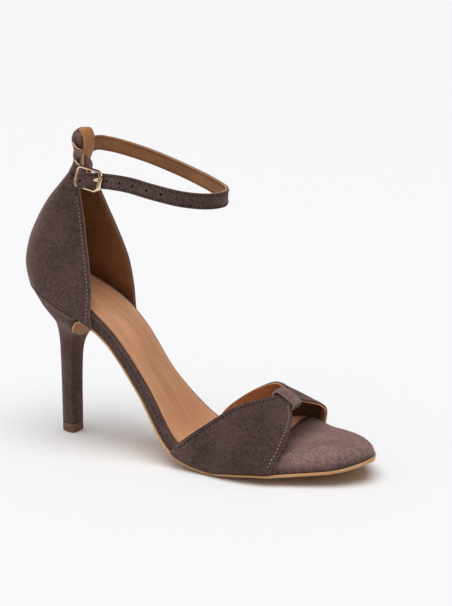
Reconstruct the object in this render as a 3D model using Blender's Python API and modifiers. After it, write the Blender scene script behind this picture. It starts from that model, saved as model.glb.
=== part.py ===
"""High heel sandal, right shoe: suede bow across the toes, closed heel, braided loop and buckled ankle strap.

Tables and sizes are in millimetres, with x measured forward from the back end of the footbed,
y towards the inner side of the foot and z up from the floor. The scene is in metres, with its
origin at the centre of the heel tip's underside.
"""

import math

import bmesh
import bpy
import numpy as np
from mathutils import Matrix, Vector

MM = 0.001
GAP = 0.3
SEAT_GAP = 0.5
OUTER, INNER = -1, 1

FOOTBED_BACK = 3.8
FOOTBED_FRONT = 215.4
HEEL_END_RADIUS = 17.3
TOE_END_RADIUS = 20.0
TOE_ROLL = 3.0
TOE_ROLL_LENGTH = 7.0
HEEL_TIP_X = 25.0
SEAT_TUCK = 2.5
SEAT_TUCK_END = 42.0
END_STEP = 0.1
INSOLE_EDGE = 1.6
INSOLE_EDGE_PER_CROWN = 0.9
INSOLE_SIDE_SHARE = 0.42

OUTSOLE_THICKNESS = 2.1
OUTSOLE_RIM = 1.4
OUTSOLE_EDGE_HEIGHT = 1.3
OUTSOLE_BEVEL = 2.4
BREAST_STATION = 54.2
TONGUE_BEND_RADIUS = 3.0
TONGUE_SLOPE = math.radians(50)
TONGUE_LENGTH = 11.5
TONGUE_TAPER = 0.26
TONGUE_TIP_TAPER = 0.26

SOCK_THICKNESS = 0.9
SOCK_GAP = 0.45
SOCK_INSET = 4.0
SOCK_FRONT = 165.0

HEEL_TIP_HEIGHT = 5.5
HEEL_TIP_CHAMFER = 0.5
COUNTER_WALL = 2.0
VAMP_WALL = 1.6
VAMP_SEAT_GAP = 1.0
VAMP_CROWN_X = 167.0
VAMP_CROWN_HEIGHT = 28.4
VAMP_CROWN_RISE = 0.62
VAMP_CROWN_SHIFT = 6.0
VAMP_FULLNESS = {OUTER: 0.85, INNER: 0.72}

KNOT_WIDTH = 10.0
KNOT_WALL = 1.3
KNOT_HALF_LENGTH = 6.7
KNOT_HALF_HEIGHT = 2.5

LOOP_WIDTH = 11.0
LOOP_WALL = 1.9
BRAID_RELIEF = 0.9
BRAID_PITCH = 8.5
BRAID_SLANT = 0.9
BRAID_LENGTH = 34.0
BRAID_FADE = 5.0
LOOP_BASE_WIDTH = 8.0
LOOP_FLARE_LENGTH = 8.0
LOOP_END_WIDTH = 5.0
LOOP_TAPER_START = 24.0

STRAP_WIDTH = 8.6
STRAP_WALL = 1.8
STRAP_LEAN = 0.2
STRAP_TIP_LENGTH = 4.0
STRAP_TIP_SHARE = 0.35
BUCKLE_X = 51.2
BUCKLE_LENGTH = 21.4
BUCKLE_HEIGHT = 14.2
BUCKLE_WIRE = 1.0
BUCKLE_CORNER = 3.0
BUCKLE_TURN = math.radians(3.5)
BUCKLE_CLEARANCE = 0.7
PRONG_WIRE = 0.75


class Table:
    """Rows of named columns, read smoothly at any value of the first column."""

    def __init__(self, columns, rows):
        values = np.array(rows, float)
        self.key = values[:, 0]
        self.columns = dict(zip(columns.split(), values.T))

    def at(self, column, key):
        keys, values = self.key, self.columns[column]
        slopes = np.gradient(values, keys)
        if key <= keys[0]:
            return values[0] + slopes[0] * (key - keys[0])
        if key >= keys[-1]:
            return values[-1] + slopes[-1] * (key - keys[-1])
        i = int(np.searchsorted(keys, key)) - 1
        step = keys[i + 1] - keys[i]
        t = (key - keys[i]) / step
        rise = values[i + 1] - values[i]
        leave, arrive = slopes[i] * step, slopes[i + 1] * step
        return values[i] + t * (leave + t * (3 * rise - 2 * leave - arrive + t * (leave + arrive - 2 * rise)))


# The last: height of the footbed's edge, its thickness, half widths on both sides and crown of its top.
LAST = Table(
    "x top thick outer inner crown",
    [
        (0, 100.2, 8.2, 15.6, 15.6, -1.5),
        (12, 96.8, 8.1, 20.0, 20.0, -2.0),
        (27, 91.8, 8.2, 22.5, 22.6, -1.8),
        (38, 87.3, 8.3, 23.0, 22.8, -1.5),
        (50, 81.2, 6.8, 23.4, 22.2, -0.8),
        (69, 67.3, 4.3, 24.9, 18.4, 0.0),
        (91, 40.0, 4.2, 25.2, 16.4, 0.0),
        (113, 13.2, 4.2, 31.2, 27.0, 0.0),
        (133, 6.4, 4.0, 32.8, 30.0, 0.0),
        (152, 8.6, 4.2, 35.2, 34.2, 0.5),
        (168, 12.6, 6.6, 33.8, 35.6, 1.8),
        (187, 15.8, 7.8, 26.6, 33.4, 2.8),
        (204, 17.9, 7.9, 18.2, 25.2, 3.0),
        (218, 21.4, 7.0, 13.0, 17.0, 2.6),
    ],
)

# The heel from its tip up to the seat: ends of each level on the centre line, and its half width.
HEEL_LEVELS = Table(
    "level x_back z_back x_front z_front half",
    [
        (0, 19.6, 5.8, 29.9, 5.8, 5.1),
        (1, 19.3, 30, 30.0, 30, 5.2),
        (2, 19.0, 47, 30.6, 46, 5.5),
        (3, 18.7, 55, 31.6, 53, 6.2),
        (4, 17.8, 61.5, 33.4, 58.5, 8.0),
        (5, 16.6, 68, 35.9, 63, 12.0),
        (6, 13.4, 74.0, 38.6, 66.6, 17.5),
        (7, 9.2, 79.5, 41.4, 70, 21.6),
        (8, 5.2, 84.5, 44.3, 73.4, 23.6),
    ],
)
HEEL_SEAT_FRONT = 48.6

# The counter's inner face above the footbed: back and front ends of each level and half widths there.
COUNTER_LEVELS = Table(
    "level z_back z_front x_back x_outer x_inner half front_half",
    [
        (0, 107, 90, 2.9, 53.4, 56.0, 21.4, 19.4),
        (1, 117, 104, 4.8, 50.8, 54.6, 19.0, 16.8),
        (2, 128, 119, 9.8, 46.6, 50.6, 15.8, 13.2),
        (3, 139, 134, 16.8, 43.2, 44.8, 12.6, 10.6),
        (4, 147, 145, 23.4, 40.4, 40.2, 10.4, 9.2),
        (5, 155, 152.5, 29.4, 37.6, 36.8, 8.6, 8.0),
    ],
)
COUNTER_FRONT = {OUTER: 55.0, INNER: 55.8}
COUNTER_LOW_FRONT = 5.0
COUNTER_BEND = 0.6
COUNTER_RIM_BACK = 1.5
COUNTER_RIM_LIFT = 1.0
COUNTER_SEAT_RISE = 0.13

# The bow: where its rear and front edges run, from the outer sole edge (-1) over the crown to the inner (1).
BOW_EDGES = Table(
    "across rear front",
    [
        (-1.0, 112.0, 173.2),
        (-0.75, 130.5, 176.4),
        (-0.5, 144.4, 176.3),
        (-0.25, 155.6, 173.0),
        (-0.1, 159.3, 168.2),
        (0.1, 159.1, 168.0),
        (0.25, 154.6, 172.6),
        (0.5, 143.0, 176.4),
        (0.75, 128.2, 176.4),
        (1.0, 110.0, 173.0),
    ],
)

# Middle line of the ankle strap, from the buckle's bar back through the loop and round to the tail.
STRAP_ROUTE = [
    (45.5, -13.2, 154.4),
    (38.2, -10.7, 158.3),
    (36.0, -3.4, 163.2),
    (36.6, 3.5, 168.4),
    (38.6, 10.5, 171.2),
    (42.2, 16.5, 170.4),
    (50.0, 21.0, 168.3),
    (66.0, 24.5, 163.7),
    (84.0, 25.5, 157.9),
    (102.0, 23.5, 152.1),
    (116.0, 17.5, 148.2),
    (124.8, 8.0, 147.0),
    (128.0, -3.0, 146.2),
    (123.5, -14.0, 146.2),
    (112.0, -20.8, 147.6),
    (96.0, -22.8, 150.4),
    (80.0, -21.4, 153.0),
    (64.0, -18.9, 154.0),
    (52.0, -17.9, 154.2),
    (43.4, -17.8, 154.7),
]

# Middle line of the braided loop on the centre plane, from the counter's top over to its lining.
LOOP_ROUTE = [
    (30.2, 157.5),
    (31.5, 160.4),
    (32.9, 164.4),
    (33.5, 169.6),
    (34.3, 175.2),
    (36.2, 179.4),
    (38.7, 179.4),
    (40.5, 175.4),
    (40.4, 168.5),
    (39.3, 161.5),
    (36.2, 155.2),
    (31.4, 149.7),
    (26.0, 145.7),
    (22.9, 143.6),
]

# The prong: places along the buckle, and how far it has climbed from the strap onto the free bar.
PRONG_ROUTE = [(-3.0, 0), (-4.4, 0.1), (-6.6, 0.75), (-8.6, 1.0), (-10.4, 0.95)]

TAUPE_SUEDE = ("taupe_suede", (0.105, 0.072, 0.064), 0.95, 0.0)
SOCK_LEATHER = ("sock_leather", (0.50, 0.30, 0.16), 0.45, 0.0)
LOOP_LEATHER = ("loop_leather", (0.16, 0.085, 0.055), 0.8, 0.0)
SOLE_LEATHER = ("sole_leather", (0.52, 0.33, 0.17), 0.55, 0.0)
TIP_RUBBER = ("tip_rubber", (0.27, 0.16, 0.08), 0.6, 0.0)
PALE_GOLD = ("pale_gold", (0.83, 0.66, 0.42), 0.22, 1.0)


def clear_scene():
    for obj in list(bpy.data.objects):
        bpy.data.objects.remove(obj, do_unlink=True)


def material(finish):
    name, colour, roughness, metallic = finish
    made = bpy.data.materials.get(name)
    if made:
        return made
    made = bpy.data.materials.new(name)
    made.use_nodes = True
    shader = made.node_tree.nodes["Principled BSDF"]
    shader.inputs["Base Color"].default_value = (*colour, 1)
    shader.inputs["Roughness"].default_value = roughness
    shader.inputs["Metallic"].default_value = metallic
    return made


def to_scene(point):
    """A point of the tables as a scene point in metres, from the heel tip's centre."""
    return Vector((point[0] - HEEL_TIP_X, point[1], point[2])) * MM


def add_object(name, data, finish, collection):
    data.materials.append(material(finish))
    obj = bpy.data.objects.new(name, data)
    collection.objects.link(obj)
    return obj


def mesh_object(name, bm, finish, collection):
    bmesh.ops.recalc_face_normals(bm, faces=bm.faces)
    mesh = bpy.data.meshes.new(name)
    bm.to_mesh(mesh)
    bm.free()
    mesh.shade_smooth()
    mesh.set_sharp_from_angle(angle=math.radians(40))
    return add_object(name, mesh, finish, collection)


def loft(name, rings, finish, collection, closed=False):
    """A solid through rings of points, with flat ends unless the rings close on themselves."""
    bm = bmesh.new()
    loops = [[bm.verts.new(to_scene(point)) for point in ring] for ring in rings]
    pairs = list(zip(loops, loops[1:]))
    if closed:
        pairs.append((loops[-1], loops[0]))
    else:
        bm.faces.new(loops[0])
        bm.faces.new(loops[-1])
    count = len(loops[0])
    for first, second in pairs:
        for i in range(count):
            j = (i + 1) % count
            bm.faces.new((first[i], first[j], second[j], second[i]))
    return mesh_object(name, bm, finish, collection)


def wall(name, shape, columns, rows, thickness, offset, finish, collection):
    """An open surface, shape(u, v) with u and v from 0 to 1, thickened by Solidify."""
    bm = bmesh.new()
    bmesh.ops.create_grid(bm, x_segments=columns, y_segments=rows, size=0.5)
    for vert in bm.verts:
        vert.co = to_scene(shape(vert.co.x + 0.5, vert.co.y + 0.5))
    bmesh.ops.reverse_faces(bm, faces=bm.faces)
    mesh = bpy.data.meshes.new(name)
    bm.to_mesh(mesh)
    bm.free()
    obj = add_object(name, mesh, finish, collection)
    solidify = obj.modifiers.new("Wall", "SOLIDIFY")
    solidify.thickness = thickness * MM
    solidify.offset = offset
    solidify.use_even_offset = True
    return obj


def end_round(distance, radius):
    share = min(max(distance / radius, 0.0), 1.0)
    return math.sqrt(1 - (1 - share) ** 2)


def half_width(x, side, grow=0.0):
    """Half width of the footbed's outline on one side, grown by an offset all round."""
    width = LAST.at("outer" if side == OUTER else "inner", x) + grow
    heel_end = end_round(x - FOOTBED_BACK + grow, HEEL_END_RADIUS + grow)
    toe_end = end_round(FOOTBED_FRONT + grow - x, TOE_END_RADIUS + grow)
    return width * heel_end * toe_end


def bed_normal(x):
    step = 0.5
    slope = (LAST.at("top", x + step) - LAST.at("top", x - step)) / (2 * step)
    length = math.hypot(slope, 1)
    return -slope / length, 1 / length


def bed_point(x, y, lift):
    """A point above the footbed's crowned top, along its normal."""
    side = OUTER if y < 0 else INNER
    share = min(abs(y) / max(half_width(x, side), 1.0), 1.0)
    crown = LAST.at("crown", x) * end_round(FOOTBED_FRONT - x, 2 * TOE_END_RADIUS)
    lift += crown * (1 - share**2) - TOE_ROLL * (1 - end_round(FOOTBED_FRONT - x, TOE_ROLL_LENGTH))
    normal_x, normal_z = bed_normal(x)
    return x + normal_x * lift, y, LAST.at("top", x) + normal_z * lift


def seat_share(x):
    """1 at the back of the heel seat, falling to 0 at its front."""
    return min(max((SEAT_TUCK_END - x) / (SEAT_TUCK_END - FOOTBED_BACK), 0.0), 1.0)


def under_point(x, y, drop):
    """A point below the footbed's underside, no lower than the floor, drawn in round the heel seat."""
    drop += LAST.at("thick", x)
    normal_x, normal_z = bed_normal(x)
    tuck = SEAT_TUCK * seat_share(x)
    drawn = 1 - tuck / HEEL_END_RADIUS
    return x - normal_x * drop + tuck, y * drawn, max(LAST.at("top", x) - normal_z * drop, 0.0)


def under_height(x):
    """Height of the footbed's underside at a horizontal place."""
    found = x
    for _ in range(4):
        found += x - under_point(found, 0, 0)[0]
    return under_point(found, 0, 0)[2]


def stations(grow, count):
    """Places along the footbed, close together where its ends round off."""
    first, last = FOOTBED_BACK - grow + END_STEP, FOOTBED_FRONT + grow - END_STEP
    return [first + (last - first) * (1 - math.cos(math.pi * i / count)) / 2 for i in range(count + 1)]


def between(first, second, share):
    return tuple(a + (b - a) * share for a, b in zip(first, second))


def insole_side(x, y, edge):
    """Points up one side of the insole, from its underside over the rounded edge onto its top."""
    low = under_point(x, y, 0)
    side = between(low, bed_point(x, y, 0), INSOLE_SIDE_SHARE)
    return [low, side, bed_point(x, y + 0.3 * edge, -0.3 * abs(edge)), bed_point(x, y + edge, 0)]


def build_insole(collection):
    rings = []
    for x in stations(0, 46):
        outer, inner = half_width(x, OUTER), half_width(x, INNER)
        edge = INSOLE_EDGE + INSOLE_EDGE_PER_CROWN * max(LAST.at("crown", x), 0)
        edge = min(edge, 0.4 * min(outer, inner))
        ring = insole_side(x, -outer, edge)
        ring += [bed_point(x, share * outer, 0) for share in (-0.55, -0.2)]
        ring += [bed_point(x, share * inner, 0) for share in (0.2, 0.55)]
        ring += reversed(insole_side(x, inner, -edge))
        rings.append(ring)
    loft("insole", rings, TAUPE_SUEDE, collection)


def build_sock(collection):
    rings = []
    count = 30
    start = FOOTBED_BACK + SOCK_INSET + END_STEP
    for i in range(count + 1):
        x = start + (SOCK_FRONT - start) * (1 - math.cos(math.pi * i / (2 * count)))
        outer, inner = (half_width(x, side, -SOCK_INSET) for side in (OUTER, INNER))
        across = [-outer, -0.5 * outer, 0, 0.5 * inner, inner]
        ring = [bed_point(x, y, SOCK_GAP) for y in across]
        ring += [bed_point(x, y, SOCK_GAP + SOCK_THICKNESS) for y in reversed(across)]
        rings.append(ring)
    loft("sock", rings, SOCK_LEATHER, collection)


def sole_section(width_outer, width_inner, place):
    """One ring of the outsole: flat top, upright edge and bevelled underside."""
    edge, bottom = OUTSOLE_EDGE_HEIGHT, OUTSOLE_THICKNESS
    bevel = min(OUTSOLE_BEVEL, 0.5 * min(width_outer, width_inner))
    return [
        place(-width_outer, 0),
        place(-width_outer, edge),
        place(-width_outer + bevel, bottom),
        place(width_inner - bevel, bottom),
        place(width_inner, edge),
        place(width_inner, 0),
    ]


def tongue_frame():
    """Bend of the outsole at the heel breast: its centre, first direction and total turn."""
    normal = Vector((*bed_normal(BREAST_STATION),))
    x, _, z = under_point(BREAST_STATION, 0, SEAT_GAP)
    radius = TONGUE_BEND_RADIUS + OUTSOLE_THICKNESS
    turn = math.asin(normal.x) + TONGUE_SLOPE
    return Vector((x, z)) - normal * radius, normal, turn


def build_outsole(collection):
    rings = []
    count = 34
    toe = FOOTBED_FRONT + OUTSOLE_RIM - END_STEP
    for i in range(count + 1):
        x = toe + (BREAST_STATION - toe) * (1 - math.cos(math.pi * i / (2 * count)))
        widths = [half_width(x, side, OUTSOLE_RIM) for side in (OUTER, INNER)]
        rings.append(sole_section(*widths, lambda y, drop: under_point(x, y, SEAT_GAP + drop)))
    centre, normal, turn = tongue_frame()
    radius = TONGUE_BEND_RADIUS + OUTSOLE_THICKNESS
    bends = 5
    for i in range(1, bends + 1):
        facing = Vector(normal)
        facing.rotate(Matrix.Rotation(turn * i / bends, 2))
        rings.append(sole_section(*widths, lambda y, drop: in_plane(centre + facing * (radius - drop), y)))
    down = Vector((-facing.y, facing.x))
    for share in (0.3, 0.55, 0.75, 0.9, 1.0):
        narrow = [width * (1 - TONGUE_TAPER * share - TONGUE_TIP_TAPER * share**4) for width in widths]
        start = centre + down * TONGUE_LENGTH * share
        rings.append(sole_section(*narrow, lambda y, drop: in_plane(start + facing * (radius - drop), y)))
    loft("outsole", rings, SOLE_LEATHER, collection)


def in_plane(flat, y):
    return flat.x, y, flat.y


def heel_ring(ends, half, count=20):
    """A D-shaped level: a flat breast in front and a rounded back."""
    x_back, z_back, x_front, z_front = ends
    ring = []
    for i in range(count + 1):
        angle = math.pi * (i / count - 0.5)
        back = math.cos(angle)
        x, z = x_front + (x_back - x_front) * back, z_front + (z_back - z_front) * back
        ring.append((x, half * math.sin(angle), z))
    return ring


def seat_ring(front, count=20):
    """The heel's top level, which follows the underside of the footbed and the counter round it."""
    grow = GAP + COUNTER_WALL
    ring = []
    for i in range(count + 1):
        angle = math.pi * (i / count - 0.5)
        x = front - (front - FOOTBED_BACK + grow) * math.cos(angle)
        side = OUTER if angle < 0 else INNER
        ring.append(under_point(x, side * half_width(x, side, grow), SEAT_GAP))
    return ring


def build_heel(collection):
    rings = []
    steps = 20
    for i in range(steps + 1):
        level = HEEL_LEVELS.key[-1] * i / steps
        ends = [HEEL_LEVELS.at(name, level) for name in ("x_back", "z_back", "x_front", "z_front")]
        rings.append(heel_ring(ends, HEEL_LEVELS.at("half", level)))
    rings.append(seat_ring(HEEL_SEAT_FRONT))
    loft("heel", rings, TAUPE_SUEDE, collection)


def build_heel_tip(collection):
    x_back, x_front = (HEEL_LEVELS.at(name, 0) for name in ("x_back", "x_front"))
    half = HEEL_LEVELS.at("half", 0)
    rings = []
    for z, draw in ((0.0, HEEL_TIP_CHAMFER), (HEEL_TIP_CHAMFER, 0.0), (HEEL_TIP_HEIGHT, 0.0)):
        rings.append(heel_ring((x_back + draw, z, x_front - draw, z), half - draw))
    loft("heel_tip", rings, TIP_RUBBER, collection)


def counter_level(level, across, turn, side):
    """A point of the counter's inner face on one of its levels."""
    names = ("z_back", "z_front", "x_back", "x_outer" if side == OUTER else "x_inner", "half", "front_half")
    z_back, z_front, x_back, x_front, half, front_half = (COUNTER_LEVELS.at(name, level) for name in names)
    if abs(across) < COUNTER_BEND:
        y = half * math.sin(math.pi / 2 * abs(across) / COUNTER_BEND)
    else:
        y = half - (half - front_half) * ((abs(across) - COUNTER_BEND) / (1 - COUNTER_BEND)) ** 2
    return x_back + (x_front - x_back) * turn, side * y, z_back + (z_front - z_back) * turn


def counter_shape(u, v):
    """Inner face of the counter: u runs round the heel from outer to inner front edge, v up the back."""
    across = 2 * u - 1
    side = OUTER if across < 0 else INNER
    turn = 1 - math.cos(abs(across) * math.pi / 2)
    back = FOOTBED_BACK - GAP
    station = back + (COUNTER_FRONT[side] - back) * turn
    width = side * half_width(station, side, SEAT_GAP)
    x, y, z = bed_point(station, width, COUNTER_RIM_LIFT)
    rim = (x - COUNTER_RIM_BACK * (1 - turn), y, z)
    low_station = station + COUNTER_LOW_FRONT * turn
    low = under_point(low_station, side * half_width(low_station, side, SEAT_GAP), 0)
    low = between(low, rim, COUNTER_SEAT_RISE * seat_share(station))
    points = [low, rim]
    points += [counter_level(level, across, turn, side) for level in COUNTER_LEVELS.key]
    rows = Table("row x y z", [(row, *point) for row, point in enumerate(points)])
    return [rows.at(name, v * (len(points) - 1)) for name in ("x", "y", "z")]


def build_counter(collection):
    wall("counter", counter_shape, 28, 22, COUNTER_WALL, 1, TAUPE_SUEDE, collection)


def bow_surface(x, across):
    """Inner face of the bow at a place along the foot, from the outer (-1) to the inner (1) sole edge."""
    angle = (across + 1) / 2 * math.pi
    side = OUTER if across < 0 else INNER
    base = half_width(x, side, VAMP_SEAT_GAP)
    low = under_height(x) + GAP
    height = VAMP_CROWN_HEIGHT + VAMP_CROWN_RISE * (VAMP_CROWN_X - x)
    arch = max(math.sin(angle), 0.0)
    return x, -base * math.cos(angle) + VAMP_CROWN_SHIFT * arch, low + height * arch ** VAMP_FULLNESS[side]


def bow_shape(u, v):
    across = 2 * u - 1
    rear, front = BOW_EDGES.at("rear", across), BOW_EDGES.at("front", across)
    return bow_surface(rear + (front - rear) * v, across)


def build_vamp(collection):
    wall("vamp", bow_shape, 44, 10, VAMP_WALL, 1, TAUPE_SUEDE, collection)


def build_knot(collection):
    middle = 0.5 * (BOW_EDGES.at("rear", 0) + BOW_EDGES.at("front", 0))
    slope = math.hypot(1, VAMP_CROWN_RISE)
    along = Vector((1, 0, -VAMP_CROWN_RISE)) / slope
    out = Vector((VAMP_CROWN_RISE, 0, 1)) / slope
    centre = Vector(bow_surface(middle, 0)) + out * VAMP_WALL / 2
    rings = []
    count = 28
    for i in range(count):
        angle = 2 * math.pi * i / count
        c, s = math.cos(angle), math.sin(angle)
        a = math.copysign(math.sqrt(abs(c)), c)
        b = math.copysign(math.sqrt(abs(s)), s)
        ring = []
        for wall_half, y in ((1, 1), (1, -1), (-1, -1), (-1, 1)):
            length = KNOT_HALF_LENGTH + wall_half * KNOT_WALL / 2
            height = KNOT_HALF_HEIGHT + wall_half * KNOT_WALL / 2
            place = centre + along * length * a + out * height * b
            ring.append((place.x, place.y + y * KNOT_WIDTH / 2, place.z))
        rings.append(ring)
    loft("vamp_loop", rings, TAUPE_SUEDE, collection, closed=True)


def smooth_route(points, count):
    """Evenly spread points on a smooth curve through a route."""
    points = [np.array(point, float) for point in points]
    padded = [2 * points[0] - points[1]] + points + [2 * points[-1] - points[-2]]
    fine = []
    for a, b, c, d in zip(padded, padded[1:], padded[2:], padded[3:]):
        for t in np.linspace(0, 1, 16, endpoint=False):
            fine.append(b + 0.5 * t * (c - a + t * (2 * a - 5 * b + 4 * c - d + t * (3 * (b - c) + d - a))))
    fine.append(points[-1])
    fine = np.array(fine)
    reach = np.concatenate([[0], np.cumsum(np.linalg.norm(np.diff(fine, axis=0), axis=1))])
    places = np.linspace(0, reach[-1], count)
    return np.stack([np.interp(places, reach, fine[:, i]) for i in range(fine.shape[1])], axis=1)


def build_loop(collection):
    """The braided loop: one wall whose outer face carries raised diagonal strands."""
    line = smooth_route(LOOP_ROUTE, 56)
    tangents = np.gradient(line, axis=0)
    reach = np.concatenate([[0], np.cumsum(np.linalg.norm(np.diff(line, axis=0), axis=1))])
    columns = 10
    rings = []
    for (x, z), (along_x, along_z), place in zip(line, tangents, reach):
        length = math.hypot(along_x, along_z)
        out_x, out_z = -along_z / length, along_x / length
        half = (LOOP_BASE_WIDTH + (LOOP_WIDTH - LOOP_BASE_WIDTH) * min(place / LOOP_FLARE_LENGTH, 1)) / 2
        taper = max(place - LOOP_TAPER_START, 0) / (reach[-1] - LOOP_TAPER_START)
        half -= (LOOP_WIDTH - LOOP_END_WIDTH) / 2 * taper
        fade = min(max(min(place, BRAID_LENGTH - place) / BRAID_FADE, 0), 1)
        ring = [(x - out_x * LOOP_WALL / 2, y, z - out_z * LOOP_WALL / 2) for y in (half, -half)]
        for i in range(columns + 1):
            y = -half + 2 * half * i / columns
            phase = (place + BRAID_SLANT * y) / BRAID_PITCH * 2 * math.pi
            strand = math.sqrt(0.5 + 0.5 * math.sin(phase))
            lift = LOOP_WALL / 2 + fade * BRAID_RELIEF * strand
            ring.append((x + out_x * lift, y, z + out_z * lift))
        rings.append(ring)
    loft("heel_loop", rings, LOOP_LEATHER, collection)


def strap_frames(count):
    """Places on the strap with its direction, width direction and inward side."""
    line = smooth_route(STRAP_ROUTE, count)
    tangents = np.gradient(line, axis=0)
    frames = []
    for place, tangent in zip(line, tangents):
        along = Vector(tangent).normalized()
        inward = along.cross(Vector((0, 0, 1))).normalized()
        up = (Vector((0, 0, 1)) + inward * STRAP_LEAN).normalized()
        up = (up - along * up.dot(along)).normalized()
        frames.append((Vector(place), along, up, along.cross(up)))
    return frames


def build_strap(collection):
    count = 110
    frames = strap_frames(count + 1)
    tip = STRAP_TIP_LENGTH / sum((b[0] - a[0]).length for a, b in zip(frames, frames[1:]))

    def shape(u, v):
        place, _, up, _ = frames[round(u * count)]
        narrow = STRAP_TIP_SHARE + (1 - STRAP_TIP_SHARE) * end_round(1 - u, tip)
        return place + up * STRAP_WIDTH * narrow * (v - 0.5)

    wall("ankle_strap", shape, count, 2, STRAP_WALL, 0, TAUPE_SUEDE, collection)


def wire(name, points, radius, cyclic, finish, collection):
    data = bpy.data.curves.new(name, "CURVE")
    data.dimensions = "3D"
    data.bevel_depth = radius * MM
    data.bevel_resolution = 2
    data.use_fill_caps = True
    spline = data.splines.new("POLY")
    spline.points.add(len(points) - 1)
    for point, place in zip(spline.points, points):
        point.co = (*to_scene(place), 1)
    spline.use_cyclic_u = cyclic
    return add_object(name, data, finish, collection)


def build_buckle(collection):
    """The frame's free bar lies outside the strap and its heel bar under the tail, so it leans across."""
    frames = strap_frames(221)
    tail = frames[len(frames) * 3 // 4 :]
    place, along, up, inward = min(tail, key=lambda frame: abs(frame[0].x - BUCKLE_X))
    turned_along = along * math.cos(BUCKLE_TURN) + up * math.sin(BUCKLE_TURN)
    turned_up = up * math.cos(BUCKLE_TURN) - along * math.sin(BUCKLE_TURN)
    side = STRAP_WALL / 2 + BUCKLE_CLEARANCE + BUCKLE_WIRE
    half_length, half_height = BUCKLE_LENGTH / 2 - BUCKLE_WIRE, BUCKLE_HEIGHT / 2 - BUCKLE_WIRE
    corners = []
    for x, y, first in ((1, 1, 0), (-1, 1, 90), (-1, -1, 180), (1, -1, 270)):
        for i in range(5):
            angle = math.radians(first + 90 * i / 4)
            along_frame = x * (half_length - BUCKLE_CORNER) + BUCKLE_CORNER * math.cos(angle)
            up_frame = y * (half_height - BUCKLE_CORNER) + BUCKLE_CORNER * math.sin(angle)
            depth = side * along_frame / half_length
            corners.append(place + turned_along * along_frame + turned_up * up_frame + inward * depth)
    wire("buckle_frame", corners, BUCKLE_WIRE, True, PALE_GOLD, collection)
    over_strap = STRAP_WALL / 2 + GAP + PRONG_WIRE
    over_bar = side + BUCKLE_WIRE + GAP + PRONG_WIRE
    prong = []
    for along_frame, rise in PRONG_ROUTE:
        height = over_strap + rise * (over_bar - over_strap)
        prong.append(place + along * along_frame - inward * height)
    wire("buckle_prong", prong, PRONG_WIRE, False, PALE_GOLD, collection)


def main():
    clear_scene()
    collection = bpy.data.collections.new("high_heel_sandal")
    bpy.context.scene.collection.children.link(collection)
    build_outsole(collection)
    build_insole(collection)
    build_sock(collection)
    build_heel(collection)
    build_heel_tip(collection)
    build_counter(collection)
    build_loop(collection)
    build_vamp(collection)
    build_knot(collection)
    build_strap(collection)
    build_buckle(collection)


main()
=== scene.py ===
# %% [markdown]
# # A suede sandal on a high heel
# This lesson dresses the plain solids of a right sandal so that it looks like the real one. The solids
# come in as a fixed frame: they say where every piece is, and nothing here moves them. Each step makes
# one piece or one finish, first in words and then in a short cell of code.

# %% Load the frame
import functools
from math import asin, copysign, cos, degrees, hypot, pi, radians, sin, sqrt

import bmesh
import bpy
import numpy as np
from mathutils import Matrix, Vector


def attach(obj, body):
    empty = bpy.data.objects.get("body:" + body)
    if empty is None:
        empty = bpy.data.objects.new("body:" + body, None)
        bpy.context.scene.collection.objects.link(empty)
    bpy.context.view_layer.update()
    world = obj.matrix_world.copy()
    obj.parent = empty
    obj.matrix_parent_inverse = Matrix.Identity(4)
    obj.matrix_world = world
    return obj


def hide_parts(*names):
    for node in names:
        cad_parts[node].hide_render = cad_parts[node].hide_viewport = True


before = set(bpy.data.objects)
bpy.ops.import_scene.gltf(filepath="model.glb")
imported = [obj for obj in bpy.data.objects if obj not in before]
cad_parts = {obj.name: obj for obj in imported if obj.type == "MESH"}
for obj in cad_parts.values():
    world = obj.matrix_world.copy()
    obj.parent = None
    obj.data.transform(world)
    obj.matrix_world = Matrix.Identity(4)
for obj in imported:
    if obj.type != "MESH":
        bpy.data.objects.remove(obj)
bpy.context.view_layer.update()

print("nodes:", ", ".join(sorted(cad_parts)))

# %% [markdown]
# ## Units and tables
# A shoemaker works in millimetres on a last, the wooden foot that gives a shoe its shape. The tables
# below do the same: x runs forward from the back of the footbed, y to the inner side of the foot and z up
# from the floor. The frame is in metres with its origin under the heel tip, so `to_scene` goes across.
# A `Table` holds rows of named columns and reads them smoothly in between, as a drawn curve would.

# %% Units and tables
MM = 0.001
HEEL_TIP_X = 25.0
OUTER, INNER = -1, 1


def side_of(y):
    return OUTER if y < 0 else INNER


def to_scene(point):
    return Vector((point[0] - HEEL_TIP_X, point[1], point[2])) * MM


def ramp(value, start, end):
    """How far a value has come from start to end, between 0 and 1."""
    return min(max((value - start) / (end - start), 0.0), 1.0)


def between(first, second, share):
    return tuple(a + (b - a) * share for a, b in zip(first, second))


class Table:
    def __init__(self, columns, rows):
        values = np.array(rows, float)
        self.key = values[:, 0].tolist()
        self.columns = {name: column.tolist() for name, column in zip(columns.split(), values.T)}
        self.slopes = {name: np.gradient(row, self.key).tolist() for name, row in self.columns.items()}

    def at(self, column, key):
        keys, values, slopes = self.key, self.columns[column], self.slopes[column]
        if key <= keys[0]:
            return values[0] + slopes[0] * (key - keys[0])
        if key >= keys[-1]:
            return values[-1] + slopes[-1] * (key - keys[-1])
        i = next(n for n, end in enumerate(keys[1:]) if key <= end)
        step = keys[i + 1] - keys[i]
        t = (key - keys[i]) / step
        rise = values[i + 1] - values[i]
        leave, arrive = slopes[i] * step, slopes[i + 1] * step
        bend = 3 * rise - 2 * leave - arrive + t * (leave + arrive - 2 * rise)
        return values[i] + t * (leave + t * bend)

    def row(self, key):
        """Every column but the key's own."""
        return [self.at(column, key) for column in list(self.columns)[1:]]


print(f"one table unit is {MM} m, the heel tip is at x = {HEEL_TIP_X}")

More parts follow.
